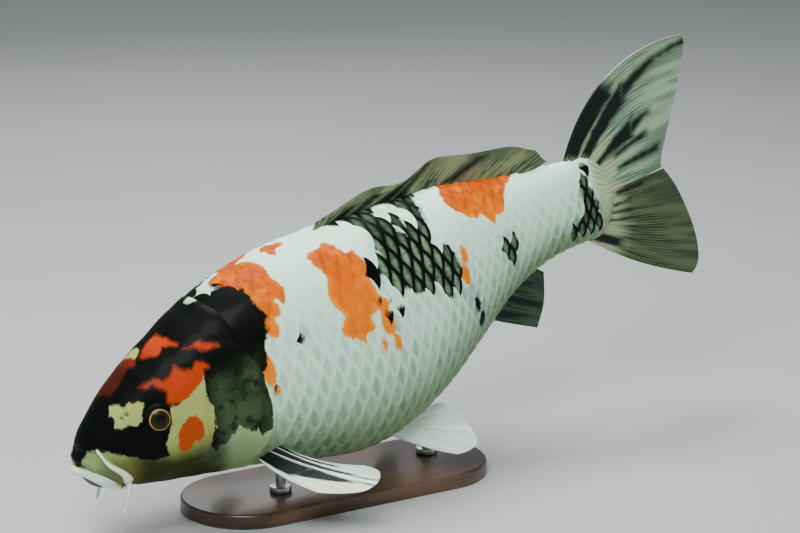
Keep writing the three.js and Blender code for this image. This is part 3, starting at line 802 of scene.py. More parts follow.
def sculptHead(points):
    # how far each point of the head moves out, with the lips' colours and the painted shade in creases and
    # pits
    side = np.stack([points[:, 0], np.abs(points[:, 1]), points[:, 2]], -1)
    s, y, z = side.T

    # the mouth: a full lip on each side of a closed cleft
    cleft = cleftPath()
    near, share = distanceTo(cleft, points)
    spot = cleft[(share * (len(cleft) - 1)).astype(int)]
    steep = ease(spot[:, 0], mouth["front"], mouth["corner"])
    above = (z - spot[:, 2]) * (1 - 0.55 * steep) + (s - spot[:, 0]) * 0.8 * steep
    across = np.sign(above) * near
    cornerFade = ease(np.abs(share - 0.5), *mouth["cornerFade"])
    height = cornerFade * relief(across, *mouth["lips"])
    lipTint = cornerFade * ease(across, *mouth["tintFrom"]) * ease(across, *mouth["tintTo"])
    lipLine = cornerFade * relief(across, mouth["line"])

    # folds and grooves that follow the bones
    for rise, width, path in headFolds.values():
        far, t = distanceTo(curvePoints(path, skinGrid["curveSteps"]), side)
        height += rise * bell(far, width) * ease(t, *foldEnds) * ease(1 - t, *foldEnds)
    far, t = distanceTo(curvePoints(jawFold["path"], skinGrid["curveSteps"]), side)
    foldFade = ease(t, 0, 0.15) * (1 - 0.4 * ease(t, 0.9, 1))
    height += foldFade * relief(far, *jawFold["swells"])
    reach, growth, edge = jawFold["tint"]
    lipTint = np.maximum(lipTint, foldFade * ease(reach + growth * t ** 2 - far, 0, edge))
    lipLine = np.maximum(lipLine, foldFade * relief(far, jawFold["line"]) * (s > jawFold["lineFrom"]))

    # the eye's socket and its rim
    axis = unit(np.array(eye["axis"]))
    offset = side - np.array([eye["s"], eye["y"], eye["z"]])
    out = offset @ axis
    radial = np.linalg.norm(offset - out[:, None] * axis, axis=1) - eye["opening"]
    socket = relief(radial, *eye["rim"]) - eye["socket"] * ease(radial, *eye["socketEdge"])
    height += socket * ease(out, *eye["facing"])

    # nostrils: two pits with a flap between
    alongS, aboveZ = s - nostril["s"], z - nostril["z"]
    beside = ease(y, *nostril["side"])
    halfS, halfZ, width, rise = nostril["flap"]
    height += beside * rise * bell(np.hypot(alongS / halfS, aboveZ / halfZ), width)
    # the pits are darkened with painted shade
    pits = np.zeros(s.shape)
    for pitS, pitZ, width, depth, dark in nostril["pits"]:
        far = np.hypot(alongS - pitS, aboveZ - pitZ)
        height -= beside * depth * bell(far, width)
        pits = np.maximum(pits, beside * bell(far, dark))

    # the gill cover stands proud, with a soft edge of membrane behind
    inside = insideCover(points)
    slanted = s + gillCover["slant"] * (z - gillCover["slantFrom"])
    rearShare = ease(slanted, *gillCover["rear"]) * ease(y, *gillCover["side"])
    rearShare *= 1 - gillCover["highLoss"] * ease(z, *gillCover["high"])
    height += rearShare * (stepped(inside, 0, *gillCover["steps"]) + relief(inside, *gillCover["edge"]))
    # painted shade darkens the mouth's cleft, the nostrils' pits and the gill opening under the cover's edge
    crease = highest(cornerFade * bell(across, mouth["crease"]), pits,
                     rearShare * relief(inside, gillCover["crease"]))

    # a little unevenness, as over bone
    uneven = np.sin(s / 5.1 + 0.7 * np.sin(z / 7)) * np.sin(z / 6.3 + 1.3 * np.sin(s / 9))
    height += 0.28 * uneven * ease(s, 0, 20)
    return height, lipTint, lipLine, crease


def coatStart(girth):
    # where the scales begin: on the nape, behind the gill cover and under the throat
    far = np.abs(girth)
    nape = mix(coat["napeFrom"], coat["flankFrom"], ease(far, *coat["flankGirth"]))
    return mix(nape, coat["throatFrom"], ease(far, *coat["throatGirth"]))


def wrapSkin():
    rings = ringStations()
    last = len(rings) - 1
    skin, far, share = newSheet(last, skinGrid["columns"])
    ring = np.rint(far * last).astype(int)
    s = rings[ring]
    safe = np.clip(s, fish["noseTip"] + skinGrid["endGap"], fish["tailTip"] - skinGrid["endGap"])
    girth = np.where(share <= 0.5, 2 * share, 2 * share - 2) * halfGirth(safe)
    points = onBody(s, girth)
    placed = place(points)

    # normals from the placed surface, away from the spine and straight out at both ends
    ahead, behind = (place(onBody(np.clip(s + step, fish["noseTip"], fish["tailTip"]), girth))
                     for step in (skinGrid["normalStep"], -skinGrid["normalStep"]))
    around = np.maximum(halfGirth(safe), 1.0) * skinGrid["normalShare"]
    left, right = (place(onBody(s, girth + step)) for step in (-around, around))
    normal = unit(np.cross(ahead - behind, right - left))
    spine = place(np.stack([s, 0 * s, mix(profile(0, s), profile(1, s), fish["midHeight"])], -1))
    normal *= np.sign(np.sum(normal * (placed - spine), axis=1, keepdims=True) + 1e-12)
    for pole, before in ((0, 1), (last, last - 2)):
        normal[ring == pole] = unit(placed[ring == pole].mean(axis=0) - placed[ring == before].mean(axis=0))

    reliefs = np.zeros((4, len(points)))
    head = s < skinGrid["sculptTo"]
    reliefs[:, head] = sculptHead(points[head])
    height, lip, lipLine, crease = reliefs
    sunk = ease(s - coatStart(girth), 0, coat["sinkOver"]) * ease(insideCover(points), *coat["underCover"])
    height = height - coat["depth"] * sunk
    height[ring == 0] = height[ring == 0].mean()
    placed = placed + normal * height[:, None] / 1000
    placed[ring == 0] = placed[ring == 1].mean(axis=0)
    writePoints(skin.data, placed)
    addMarkings(skin.data, safe, girth, safe, girth)
    addFloats(skin.data, lip=lip, lipLine=lipLine, crease=crease)
    nodes = ("head", "jaw_lower", "lip_upper", "lip_lower", "gill_cover_left", "gill_cover_right",
             "trunk_front", "trunk_rear", "tail_stalk")
    finishPiece(skin, "koiSkin", hideMaterial, nodes, 60, weld=True)


wrapSkin()


# Scales: one thin shield, laid in rows over the body

scaleRows = {"pitch": 12.05, "start": 264, "above": 7, "below": 10, "least": 10.4, "to": 521,
             "tailPitch": 9.0, "tailFrom": 470, "tailBlend": 40, "tailCurve": 6, "lift": 1.35, "dome": 0.16,
             "thickness": 0.4, "sunk": 0.12, "frontEdge": -0.75, "rearEdge": 0.5, "across": 8, "along": 4,
             "redHug": 0.85, "blackHug": 0.4, "bakePatch": 0.0015, "slip": 0.02, "stretch": 0.03,
             "liftSpread": 0.12, "reach": 0.9, "colourAt": 0.05, "startGap": 3, "endGap": 0.2,
             "lateral": (0.425, 0.5), "lateralShift": (300, 480), "forward": -14, "backward": 18,
             "middleGap": 0.02, "sideGap": 0.25, "coverEdge": -1.5, "coverSide": 14, "coverTo": 146}


def scaleShield():
    # one scale's points, as across, back and layer, with its faces
    across, along = scaleRows["across"], scaleRows["along"]
    v = np.linspace(-1.02, 1.02, across + 1)
    t = np.linspace(0, 1, along + 1) ** 0.9
    rear = scaleRows["rearEdge"] - 0.99 * (1 - np.sqrt(1 - (v / 1.15) ** 2))
    front = scaleRows["frontEdge"] + 0.2 * v ** 2
    u = front[None, :] + (rear - front)[None, :] * t[:, None]
    top = np.stack([np.broadcast_to(v, u.shape), u, 0 * u], -1).reshape(-1, 3)
    index = np.arange(len(top)).reshape(u.shape)
    rim = np.concatenate([index[0, :], index[1:, -1], index[-1, -2::-1], index[-2:0:-1, 0]])
    lower = np.arange(len(rim)) + len(top)
    faces = [(index[i, j], index[i, j + 1], index[i + 1, j + 1], index[i + 1, j])
             for i in range(along) for j in range(across)]
    faces += list(zip(np.roll(rim, -1), rim, lower, np.roll(lower, -1)))
    faces.append(tuple(lower[::-1]))
    return np.vstack([top, top[rim] + (0, 0, -1)]), faces


def lateralGirth(s):
    return halfGirth(s) * mix(*scaleRows["lateral"], ease(s, *scaleRows["lateralShift"]))


def rowSpacing(s, row):
    lateral = lateralGirth(s)
    spacing = np.where(row > 0, lateral / scaleRows["above"], (halfGirth(s) - lateral) / scaleRows["below"])
    return np.maximum(spacing, scaleRows["least"])


def rowGirth(s, row):
    return lateralGirth(s) - row * rowSpacing(s, row)


def tailShare(s):
    return (s - scaleRows["tailFrom"]) / scaleRows["tailBlend"]


def rowCentres(row):
    # the scales of one row, from the gill cover to the tail
    shift = 0 if row % 2 else 0.5
    steps = range(scaleRows["forward"], scaleRows["backward"])
    s = [scaleRows["start"] + scaleRows["pitch"] * (k + shift) for k in steps]
    s = [value for value in s if value < scaleRows["tailFrom"]]
    while s[-1] < scaleRows["to"]:
        s.append(s[-1] + mix(scaleRows["pitch"], scaleRows["tailPitch"], min(1, tailShare(s[-1]))))
    return np.array(s)


def scaleSpots(side):
    # s and row of every scale of one side; the scales on the middle lines belong to the left
    spots = []
    for row in range(-scaleRows["below"], scaleRows["above"] + 1):
        s = rowCentres(row)
        girth = rowGirth(s, row)
        half = halfGirth(s)
        spacing = rowSpacing(s, row)
        flank = onBody(s, girth)
        onMiddle = np.minimum(np.abs(girth), np.abs(girth - half)) < scaleRows["middleGap"] * spacing
        gap = scaleRows["sideGap"] * spacing
        kept = (girth > gap) & (girth < half - gap) | (onMiddle & (side > 0))
        kept &= s > coatStart(girth) + scaleRows["startGap"]
        beside = (np.abs(flank[:, 1]) > scaleRows["coverSide"]) & (s < scaleRows["coverTo"])
        kept &= ~((insideCover(flank) > scaleRows["coverEdge"]) & beside)
        kept &= s < scaleRows["to"] - scaleRows["tailCurve"] * np.cos(np.pi * girth / half)
        spots += [(value, row) for value in s[kept]]
    return np.array(spots).T[..., None]


def meshOf(name, points, loops, faceSizes):
    mesh = bpy.data.meshes.new(name)
    mesh.vertices.add(len(points))
    writePoints(mesh, points)
    mesh.loops.add(len(loops))
    mesh.loops.foreach_set("vertex_index", loops.astype(np.int32))
    starts = np.concatenate([[0], np.cumsum(faceSizes)[:-1]])
    mesh.polygons.add(len(starts))
    mesh.polygons.foreach_set("loop_start", starts.astype(np.int32))
    mesh.update(calc_edges=True)
    mesh.validate()
    return mesh


def layScales(side, name, seed):
    shield, faces = scaleShield()
    s0, row = scaleSpots(side)
    count = len(s0)
    slip, stretch, lift = np.random.default_rng(seed).uniform(-1, 1, (3, count, 1))
    pitch = mix(scaleRows["pitch"], scaleRows["tailPitch"], np.clip(tailShare(s0), 0, 1))
    spacing = rowSpacing(s0, row)
    v, u, layer = shield.T[:, None, :]
    s = s0 + pitch * (u + scaleRows["slip"] * slip) * (1 + scaleRows["stretch"] * stretch)
    reach = mix(scaleRows["reach"], 1, np.minimum(1, spacing / scaleRows["least"]))
    girth = rowGirth(s, row) + spacing * v * reach
    rise = (u - scaleRows["frontEdge"]) / (scaleRows["rearEdge"] - scaleRows["frontEdge"])
    tilted = scaleRows["lift"] * rise * (1 + scaleRows["liftSpread"] * lift)
    domed = scaleRows["dome"] * (1 - v ** 2) + layer * scaleRows["thickness"]
    height = tilted + domed - coat["depth"] - scaleRows["sunk"]
    lowS = np.clip(s, 0, fish["tailTip"] - scaleRows["endGap"])
    points = place(onBody(lowS, side * girth, height)).reshape(-1, 3)
    loops = (np.concatenate(faces)[None, :] + len(shield) * np.arange(count)[:, None]).ravel()
    mesh = meshOf(name, points, loops, np.tile([len(face) for face in faces], count))

    # a scale takes its colour from near its middle, so that markings end along scales
    middleS = s0 + scaleRows["colourAt"] * pitch
    middleGirth = rowGirth(s0, row)

    def hugged(hug):
        markS = np.clip(mix(middleS, s, hug), -2, 540)
        return markS.ravel(), side * mix(middleGirth, girth, hug).ravel()

    addMarkings(mesh, *hugged(scaleRows["blackHug"]), *hugged(scaleRows["redHug"]))
    addFloats(mesh, tone=0.5 + 0.5 * stretch + 0 * v)
    # the bake patch of a scale lies at its root's place on the body's unwrap
    rootU = 0.02 + 0.96 * (s0 - fish["noseTip"]) / (fish["tailTip"] - fish["noseTip"])
    rootV = 0.5 + side * 0.48 * middleGirth / halfGirths.max()
    patch = scaleRows["bakePatch"]
    for uvName, flatU, flatV in (("scale", v + 0 * s0, u + 0 * s0),
                                 ("OFBake", rootU + patch * u, rootV + patch * v)):
        places = np.stack([flatU, flatV], -1).reshape(-1, 2)[loops]
        mesh.uv_layers.new(name=uvName).data.foreach_set("uv", places.astype(np.float32).ravel())
    obj = bpy.data.objects.new(name, mesh)
    bpy.context.scene.collection.objects.link(obj)
    finishPiece(obj, name, scaleMaterial, (), 50)
    print(count, "scales laid")


layScales(1, "scalesLeft", 11)
layScales(-1, "scalesRight", 12)


# Eyes

eyeLook = {   # colours from the pupil outward, and how far out each begins and is full
    "pupil": (0.004, 0.004, 0.003), "iris": ((0.007, 0.006, 0.0015), (0.024, 0.017, 0.003)),
    "gold": ((0.26, 0.12, 0.015), (0.52, 0.34, 0.08)), "rim": (0.012, 0.014, 0.012),
    "irisFrom": (0.37, 0.45), "goldFrom": (0.70, 0.76), "rimFrom": (0.78, 0.84),
    "finish": {"Roughness": 0.3, "Specular IOR Level": 0.1, "Coat Weight": 0.15, "Coat Roughness": 0.02},
}


def eyeMaterial():
    material, tree = newMaterial("koiEye")
    spot = objectPlace(tree)
    fleck = noiseAt(spot, 900)
    out = readFloat(tree, "fromPupil") + (noiseAt(spot, 350, 2) - 0.5) * 0.10
    iris, gold = (paint(eyeLook[part][0], (fleck, eyeLook[part][1])) for part in ("iris", "gold"))
    colour = paint(eyeLook["pupil"], (ease(out, *eyeLook["irisFrom"]), iris),
                   (ease(out, *eyeLook["goldFrom"]), gold), (ease(out, *eyeLook["rimFrom"]), eyeLook["rim"]))
    surfaceShader(colour, None, eyeLook["finish"])
    return material


eyeballMaterial = eyeMaterial()


def makeEye(side, name, node):
    clearSelection()
    bpy.ops.mesh.primitive_uv_sphere_add(segments=72, ring_count=40, radius=1)
    ball = bpy.context.object
    points = readPoints(ball.data)
    radial = np.hypot(points[:, 0], points[:, 1])
    axis = Vector(np.array(eye["axis"]) * (1, side, 1)).normalized()
    turn = np.array(Vector((0, 0, 1)).rotation_difference(axis).to_matrix())
    lens = points * (eye["radius"], eye["radius"], eye["depth"])
    writePoints(ball.data, place(lens @ turn.T + (eye["s"], eye["y"] * side, eye["z"])))
    addFloats(ball.data, fromPupil=np.where(points[:, 2] > 0, radial, 1.0))
    finishPiece(ball, name, eyeballMaterial, [node], 60)


sides = {"Left": -1, "Right": 1}
for end, side in sides.items():
    makeEye(side, "eye" + end, "eye_" + end.lower())


# Barbels

barbels = {   # radius at the root and at the end, and the path on the right side
    "corner": (3.0, 1.0, [(27, 18, -38), (28, 22, -42), (24, 23.5, -51), (17, 22.5, -64)]),
    "front": (0.9, 0.5, [(11.5, 15, -9), (12.5, 20, -12), (15, 24, -19), (19, 26.5, -26)]),
}
barbelTube = {"steps": 40, "sides": 20, "pathSteps": 400, "rootRound": 0.03, "tipRound": 0.07,
              "lookAhead": 6, "upward": (0.0, 0.3, 1.0), "bumps": 60, "bumpHeight": 0.05,
              "dull": (0.70, 0.74, 0.66), "pale": (0.86, 0.88, 0.80)}
barbelFinish = {"Roughness": 0.42, "Specular IOR Level": 0.45, "Coat Weight": 0.12, "Coat Roughness": 0.2}


def barbelMaterial():
    material, tree = newMaterial("barbelSkin")
    spot = objectPlace(tree)
    colour = paint(barbelTube["dull"], (noiseAt(spot, 300), barbelTube["pale"]))
    surfaceShader(colour, bumpFrom(noiseAt(spot, 800), 0.2, 0.0006), barbelFinish)
    return material


barbelSkin = barbelMaterial()


def makeBarbel(kind, side, name, node):
    start, end, route = barbels[kind]
    path = curvePoints(np.array(route) * (1, side, 1), barbelTube["pathSteps"])
    last = len(path) - 1
    tube, t, turn = newSheet(barbelTube["steps"], barbelTube["sides"])
    index = np.clip((t * last).astype(int), 0, last - 1)
    ahead = barbelTube["lookAhead"]
    along = unit(path[np.minimum(index + ahead, last)] - path[np.maximum(index - ahead, 0)])
    across = unit(np.cross(along, barbelTube["upward"]))
    other = np.cross(along, across)
    tip = np.maximum(t - 1 + barbelTube["tipRound"], 0) / barbelTube["tipRound"]
    root = np.maximum(barbelTube["rootRound"] - t, 0) / barbelTube["rootRound"]
    radius = mix(start, end, t ** 0.8) * np.sqrt(np.clip(1 - tip ** 2 - root ** 2, 0, 1))
    radius *= 1 + barbelTube["bumpHeight"] * np.sin(t * barbelTube["bumps"]) * (1 - t)
    angle = 2 * math.pi * turn[:, None]
    points = path[index] + radius[:, None] * (np.cos(angle) * across + np.sin(angle) * other)
    writePoints(tube.data, place(points))
    finishPiece(tube, name, barbelSkin, [node], 60, weld=True)


for kind in barbels:
    for end, side in sides.items():
        makeBarbel(kind, side, kind + "Barbel" + end, "barbel_" + kind + "_" + end.lower())
print("barbels made")


# Fins: a sheet over the rays, thickened, with a ridge along each ray. On a fin u runs from ray to ray and
# v out along them

tailFin = {"rootS": 500, "rootZ": 5.5, "rootDepth": 31, "rootHalf": 38, "forkLength": 65, "forkLateral": 5,
           "corner": (0.85, 1, 0.05)}
upperLobe = {"up": 1, "reach": 94, "start": 60, "end": -9, "extra": 136, "power": 1.9, "lateral": 4}
lowerLobe = {"up": -1, "reach": 72, "start": 42, "end": 26, "extra": 74, "power": 1.1, "lateral": 8}
backFin = {"from": 234, "to": 450, "sunk": 8, "lean": (6, (38, 0, 0.07), (-11, 0.8, 1)),
           "height": (5, (9, 0, 0.07), (9, 0.25, 0.47), (-7, 0.78, 0.96), (-12, 0.93, 1)),
           "dip": (0.23, 0.07, -3), "leanPower": 1.15, "risePower": 0.85}
analFin = {"from": 386, "to": 448, "sunk": 7, "tipS": 446, "tipBow": 15, "tipZ": (-88, -42), "sag": 3}
# first, middle and last ray, on the right side
pairedRoots = {"pectoral": [(131, 33, -60), (138, 36, -55), (145, 38, -50)],
               "pelvic": [(255, 17, -97), (261, 14, -95), (268, 11, -92)]}
pairedBows = {"pectoral": [(-8, 0, 4), (-6, 0, 1), (-5, 0, -3)],
              "pelvic": [(-1, 0, -3), (0, 0, -2), (0, 0, -1)]}
pairedCorners = ((0.34, 0, 0.20), (0.82, 1, 0.09))
pairedTips = {"pectoralLeft": [(158, 99, -87.5), (184, 106, -84), (190, 99, -73)],
              "pectoralRight": [(160, 97, -70), (187, 102, -64), (193, 94, -54)],
              "pelvicLeft": [(311, 53, -137), (322, 43, -121), (314, 23, -94)],
              "pelvicRight": [(312, 55, -130), (322, 44, -117), (314, 23, -94)]}


def cutCorner(u, zeroAt, oneAt, depth):
    # the share that a fin's corner is rounded off by
    return depth * np.clip((u - zeroAt) / (oneAt - zeroAt), 0, 1) ** 2


def lobeSurface(lobe):
    def surface(u, v):
        spread = 1 - u
        around = np.radians(lobe["reach"] * spread)
        rootS = tailFin["rootS"] + tailFin["rootDepth"] * np.cos(around)
        rootZ = tailFin["rootZ"] + lobe["up"] * (0.1 + tailFin["rootHalf"] * np.sin(around))
        length = tailFin["forkLength"] + lobe["extra"] * spread ** lobe["power"]
        length = length * (1 - cutCorner(spread, *tailFin["corner"]))
        sideways = np.radians(mix(tailFin["forkLateral"], lobe["lateral"], spread))
        start, end = (np.radians(lobe["up"] * lobe[part] * spread) for part in ("start", "end"))
        bent = 0.5 * v * v * length
        s = rootS + v * length * np.cos(start) + bent * (np.cos(end) - np.cos(start))
        z = rootZ + v * length * np.sin(start) + bent * (np.sin(end) - np.sin(start))
        return np.stack([s, v * length * np.tan(sideways), z], -1)
    return surface


def backSurface(u, v):
    rootS = mix(backFin["from"], backFin["to"], u)
    lean = stepped(u, *backFin["lean"])
    height = stepped(u, *backFin["height"]) + relief(u, backFin["dip"])
    rootZ = profile(0, rootS) - backFin["sunk"]
    tipZ = profile(0, rootS + lean) + height
    s = rootS + lean * v ** backFin["leanPower"]
    return np.stack([s, 0 * u, mix(rootZ, tipZ, v ** backFin["risePower"])], -1)


def analSurface(u, v):
    rootS = mix(analFin["from"], analFin["to"], u)
    rootZ = profile(1, rootS) + analFin["sunk"]
    tipS = analFin["tipS"] + analFin["tipBow"] * np.sin(u * math.pi / 2)
    tipZ = mix(*analFin["tipZ"], u)
    return np.stack([mix(rootS, tipS, v), 0 * u, mix(rootZ, tipZ, v) - analFin["sag"] * v * (1 - v)], -1)


def pairedSurface(kind, end):
    rays = [np.array(part, float) for part in (pairedRoots[kind], pairedTips[kind + end], pairedBows[kind])]
    side = sides[end]

    def surface(u, v):
        weights = np.stack([(1 - u) * (1 - 2 * u), 4 * u * (1 - u), u * (2 * u - 1)], -1)
        v = v * (1 - sum(cutCorner(u, *corner) for corner in pairedCorners))
        root, tip, bow = (weights @ part for part in rays)
        return (mix(root, tip, v[:, None]) + bow * (4 * v * (1 - v))[:, None]) * (1, side, 1)
    return surface


inkFin = (0.003, 0.008, 0.006)
finLooks = {   # pale, grey and ray colours, number of rays, share of the body's colour at the root
    "tailFinSkin": ((0.27, 0.39, 0.25), (0.075, 0.155, 0.105), (0.38, 0.50, 0.35), 18, 0.8),
    # the lower lobe's colours are darker than the upper lobe's: painted shade
    "tailLowerSkinPaintedShade": ((0.080, 0.112, 0.048), (0.014, 0.027, 0.011), (0.14, 0.18, 0.09), 18, 0.8),
    "backFinSkin": ((0.17, 0.205, 0.098), (0.040, 0.062, 0.028), (0.24, 0.285, 0.16), 22, 0),
    "analFinSkin": ((0.034, 0.068, 0.035), (0.011, 0.026, 0.014), (0.075, 0.120, 0.070), 9, 0),
    "pairedFinSkin": ((0.86, 1.0, 0.90), (0.62, 0.80, 0.68), (0.94, 1.0, 0.92), 15, 0),
}
finFinish = {"Roughness": 0.45, "Specular IOR Level": 0.18, "Subsurface Weight": 0.15,
             "Subsurface Scale": 0.002}
# node, surface, look, thickness at root and edge, columns and rows, and a swell's height, waves and lean
fins = {
    "tailUpper": ("fin_caudal_upper", lobeSurface(upperLobe), "tailFinSkin", (4.2, 0.7), (200, 80),
                  (1.8, 1.1, 0.6)),
    "tailLower": ("fin_caudal_lower", lobeSurface(lowerLobe), "tailLowerSkinPaintedShade", (4.2, 0.7), (200, 70),
                  (1.6, 1.3, 0.5)),
    "backFin": ("fin_dorsal", backSurface, "backFinSkin", (3.2, 0.7), (260, 40), (2.0, 3.2, 0.3)),
    "analFin": ("fin_anal", analSurface, "analFinSkin", (3.2, 0.7), (110, 50), (0.9, 1.2, 0.3)),
}
for kind in ("pectoral", "pelvic"):
    for end in sides:
        fins[kind + end] = ("fin_" + kind + "_" + end.lower(), pairedSurface(kind, end), "pairedFinSkin",
                            (3.0, 0.6), (190, 60), (0.9, 1.3, 0.4))
# streaks of black on a fin: from u, v to u, v, half width in u at each end
finStreaks = {
    "tailUpper": [(0.03, 0, 0.06, 0.44, 0.20, 0.09), (0.34, 0.03, 0.21, 0.52, 0.075, 0.075),
                  (0.21, 0.50, 0.12, 0.80, 0.05, 0.022), (0.12, 0.80, 0.07, 1.02, 0.016, 0.022),
                  (0.58, 0.05, 0.52, 0.55, 0.028, 0.085), (0.52, 0.53, 0.46, 0.72, 0.05, 0.01),
                  (0.66, 0.30, 0.62, 0.70, 0.012, 0.025), (0.80, 0.30, 0.78, 0.9, 0.02, 0.03)],
    "tailLower": [(0.16, 0, 0.18, 0.26, 0.10, 0.05), (0.50, 0.08, 0.52, 0.30, 0.016, 0.012),
                  (0.62, 0.08, 0.64, 0.30, 0.014, 0.012), (0.74, 0.08, 0.76, 0.34, 0.014, 0.012),
                  (0.92, 0.2, 0.93, 0.6, 0.02, 0.02)],
    "backFin": [(0.02, 0, 0.10, 0.60, 0.05, 0.025), (0.13, 0, 0.20, 0.75, 0.035, 0.02),
                (0.25, 0, 0.33, 0.85, 0.075, 0.04), (0.37, 0, 0.43, 0.9, 0.035, 0.012),
                (0.50, 0, 0.53, 0.4, 0.02, 0.008), (0.64, 0.30, 0.69, 0.85, 0.022, 0.016)],
    "analFin": [(0.08, 0, 0.16, 0.75, 0.07, 0.02), (0.36, 0, 0.38, 0.95, 0.03, 0.05),
                (0.66, 0.1, 0.70, 0.6, 0.05, 0.012)],
    "pectoralLeft": [(0.28, 0, 0.30, 0.50, 0.25, 0.21), (0.33, 0.45, 0.42, 0.84, 0.21, 0.03),
                     (0.70, 0, 0.66, 0.80, 0.14, 0.03), (0.93, 0, 0.88, 0.66, 0.09, 0.03),
                     (0.62, 0.80, 0.60, 0.97, 0.012, 0.014), (0.46, 0.88, 0.46, 0.99, 0.010, 0.012)],
    "pectoralRight": [(0.30, 0, 0.32, 0.55, 0.15, 0.10), (0.62, 0.05, 0.6, 0.7, 0.07, 0.02)],
    "pelvicLeft": [(0.97, 0.05, 0.97, 0.6, 0.02, 0.01)],
    "pelvicRight": [(0.5, 0.1, 0.55, 0.7, 0.04, 0.01)],
}
# how a fin's rays fork, and how its ridges stand out
finShape = {"forks": (0.28, 0.50), "forksAgain": (0.58, 0.80), "ridgeFades": (0.6, 0.9), "ridge": 0.13,
            "ripple": 0.04, "notch": 0.006, "normalStep": 0.004}
wall = {"margin": 1.3, "levels": 60}   # how the thickness is written into a vertex group
streak = {"endSlope": 0.6, "scale": 40, "limit": 10}


def streakField(streaks, u, v):
    field = np.full(u.shape, -1.0)
    for fromU, fromV, toU, toV, startWidth, endWidth in streaks:
        t = np.clip((v - fromV) / (toV - fromV), 0, 1)
        width = mix(startWidth, endWidth, t)
        beyond = np.maximum(fromV - v, v - toV) * streak["endSlope"]
        field = np.maximum(field, np.minimum(width - np.abs(u - mix(fromU, toU, t)), -beyond))
    return np.clip(field * streak["scale"], -streak["limit"], streak["limit"])


def finMaterial(name):
    pale, grey, ray, rays, rootShare = finLooks[name]
    material, tree = newMaterial(name)
    out = readFloat(tree, "outward")
    u = readFloat(tree, "acrossRays")
    # each ray forks twice on its way out
    phase = 2 * math.pi * rays
    single, split, fourth = (maths("COSINE", u * (phase * forks)) * 0.5 + 0.5 for forks in (1, 2, 4))
    line = mix(single, split, ease(out, *finShape["forks"]))
    line = mix(line, fourth, ease(out, *finShape["forksAgain"]))
    # soft light and dark bands run out along the rays, and at the root the body's pale colour
    bands = ease(noiseAt(vectorOf(u * 13, out * 1.6), 1), 0.38, 0.62)
    jitter = (noiseAt(objectPlace(tree), 160) - 0.5) * 1.6 + line * 0.5
    colour = paint(pale, (bands, grey), (ease(line, 0.2, 0.95) * 0.55, ray),
                   (ease(out + bands * 0.08, 0.42, 0.14) * rootShare, tints["tailRoot"]),
                   (ease(readFloat(tree, "ink") + jitter, -1.5, 1.3), inkFin))
    normal = bumpFrom(line, 0.12, 0.0004)
    surfaceShader(colour, bumpFrom(maths("SINE", out * 260), 0.05, 0.0003, normal), finFinish)
    return material


def thicken(sheet, thick, full):
    # a wall round the sheet, of its own thickness at each point
    group = sheet.vertex_groups.new(name="thickness")
    levels = np.rint(thick / full * wall["levels"]).astype(int)
    for level in np.unique(levels):
        group.add(np.flatnonzero(levels == level).tolist(), level / wall["levels"], "REPLACE")
    solid = sheet.modifiers.new("thickness", "SOLIDIFY")
    solid.thickness = full / 1000
    solid.offset = 0
    solid.vertex_group = "thickness"
    applyModifiers(sheet)
    sheet.vertex_groups.clear()


def makeFin(name, node, surface, look, plate, grid, swell):
    fin, u, v = newSheet(*grid)
    rays = finLooks[look][3]
    ridge, forkRidge = (np.cos(2 * math.pi * rays * forks * u) for forks in (1, 2))
    ridge = mix(ridge, forkRidge, ease(v, *finShape["forks"])) * (1 - 0.6 * ease(v, *finShape["ridgeFades"]))
    reach = v * (1 - finShape["notch"] * (1 - ridge) * ease(v, 0.8, 1))
    step = finShape["normalStep"]
    acrossRays = surface(np.minimum(u + step, 1), reach) - surface(np.maximum(u - step, 0), reach)
    alongRay = surface(u, np.minimum(reach + step, 1)) - surface(u, np.maximum(reach - step, 0))
    height, waves, lean = swell
    fold = height * ease(v, 0, 0.9) * np.sin(2 * math.pi * (waves * u + lean * v))
    fold += finShape["ripple"] * ridge * ease(v, 0, 0.3)
    points = surface(u, reach) + unit(np.cross(acrossRays, alongRay)) * fold[:, None]
    writePoints(fin.data, place(points))
    addFloats(fin.data, acrossRays=u, outward=v, ink=streakField(finStreaks[name], u, v))
    root, edge = plate
    thick = mix(root, edge, np.sqrt(v)) * (1 + finShape["ridge"] * ridge * ease(v, 0, 0.2))
    thicken(fin, thick, root * wall["margin"])
    finishPiece(fin, name, finMaterials[look], [node], 50)


finMaterials = {name: finMaterial(name) for name in finLooks}
for name, measures in fins.items():
    makeFin(name, *measures)
print("fins made")


# Stand

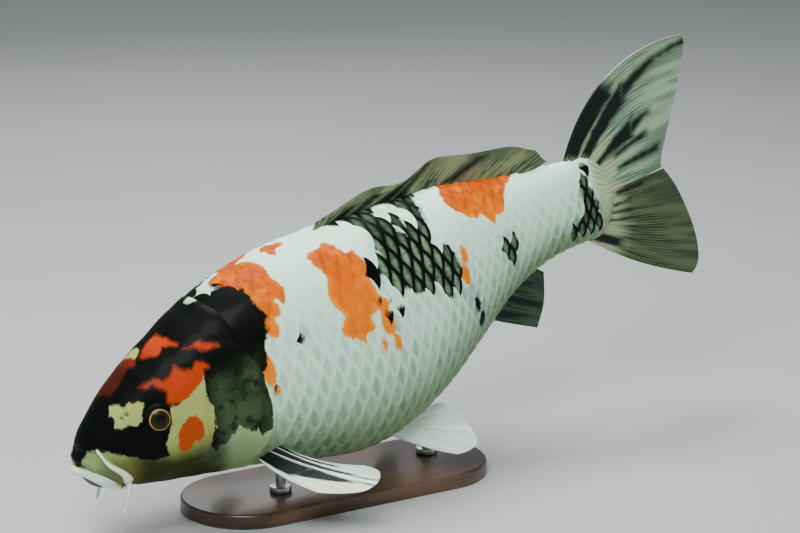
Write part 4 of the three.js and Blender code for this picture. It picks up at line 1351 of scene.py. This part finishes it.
wood = {"stretch": (4, 42, 42), "dark": (0.030, 0.014, 0.007), "pale": (0.105, 0.050, 0.022),
        "pore": (0.012, 0.006, 0.003),
        "finish": {"Roughness": 0.38, "Coat Weight": 0.35, "Coat Roughness": 0.16}}
steel = {"stretch": (60, 60, 2600), "dark": (0.42, 0.43, 0.44), "pale": (0.62, 0.63, 0.64),
         "finish": {"Metallic": 1.0, "Roughness": 0.30}}
standParts = {   # slot, axis its width is read on, facets round it, width and steps of the eased edge
    "base": ("base", 1, 96, 0.0022, 4), "rod": ("rod", 0, 48, 0.0004, 3),
    "collar": ("rod", 0, 48, 0.0009, 3),
}


def woodMaterial():
    material, tree = newMaterial("darkWood")
    stretched = objectPlace(tree, wood["stretch"])
    rings = addNode(tree, "ShaderNodeTexWave", {"Vector": stretched, "Scale": 0.55, "Distortion": 5,
                                                "Detail": 4, "Detail Scale": 1.4})
    figure = mix(noiseAt(stretched, 3.2, 8, 0.62), Value(rings, "Fac"), 0.45)
    colour = paint(wood["dark"], (ease(figure, 0.25, 0.75), wood["pale"]),
                   (ease(noiseAt(stretched, 22), 0.60, 0.72) * 0.5, wood["pore"]))
    surfaceShader(colour, bumpFrom(figure, 0.12, 0.0004), wood["finish"])
    return material


def steelMaterial():
    material, tree = newMaterial("brushedSteel")
    brushed = noiseAt(objectPlace(tree, steel["stretch"]), 1, 4)
    colour = paint(steel["dark"], (brushed, steel["pale"]))
    surfaceShader(colour, bumpFrom(brushed, 0.06, 0.0002), steel["finish"])
    return material


def standPiece(kind, name, node, material):
    # a cylinder in the node's box, drawn out lengthways where the box is longer than wide
    slot, widthAxis, facets, edgeWidth, edgeSteps = standParts[kind]
    low, high = (np.array(corner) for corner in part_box(node))
    middle = (low + high) / 2
    length, width, tall = (high - low)[[0, widthAxis, 2]]
    clearSelection()
    bpy.ops.mesh.primitive_cylinder_add(vertices=facets, radius=width / 2, depth=tall, location=middle)
    piece = bpy.context.object
    bpy.ops.object.transform_apply(location=True, rotation=True, scale=True)
    points = readPoints(piece.data)
    points[:, 0] += np.sign(np.round(points[:, 0] - middle[0], 5)) * (length - width) / 2
    writePoints(piece.data, points)
    edge = piece.modifiers.new("edge", "BEVEL")
    edge.width = edgeWidth
    edge.segments = edgeSteps
    edge.limit_method = "ANGLE"
    edge.angle_limit = math.radians(50)
    applyModifiers(piece)
    finishPiece(piece, name, material, [node], 30)


standPiece("base", "standBase", "stand_base", woodMaterial())
steelLook = steelMaterial()
for end in ("front", "rear"):
    for kind in ("rod", "collar"):
        standPiece(kind, kind + end.title(), "stand_" + kind + "_" + end, steelLook)
print("stand made")
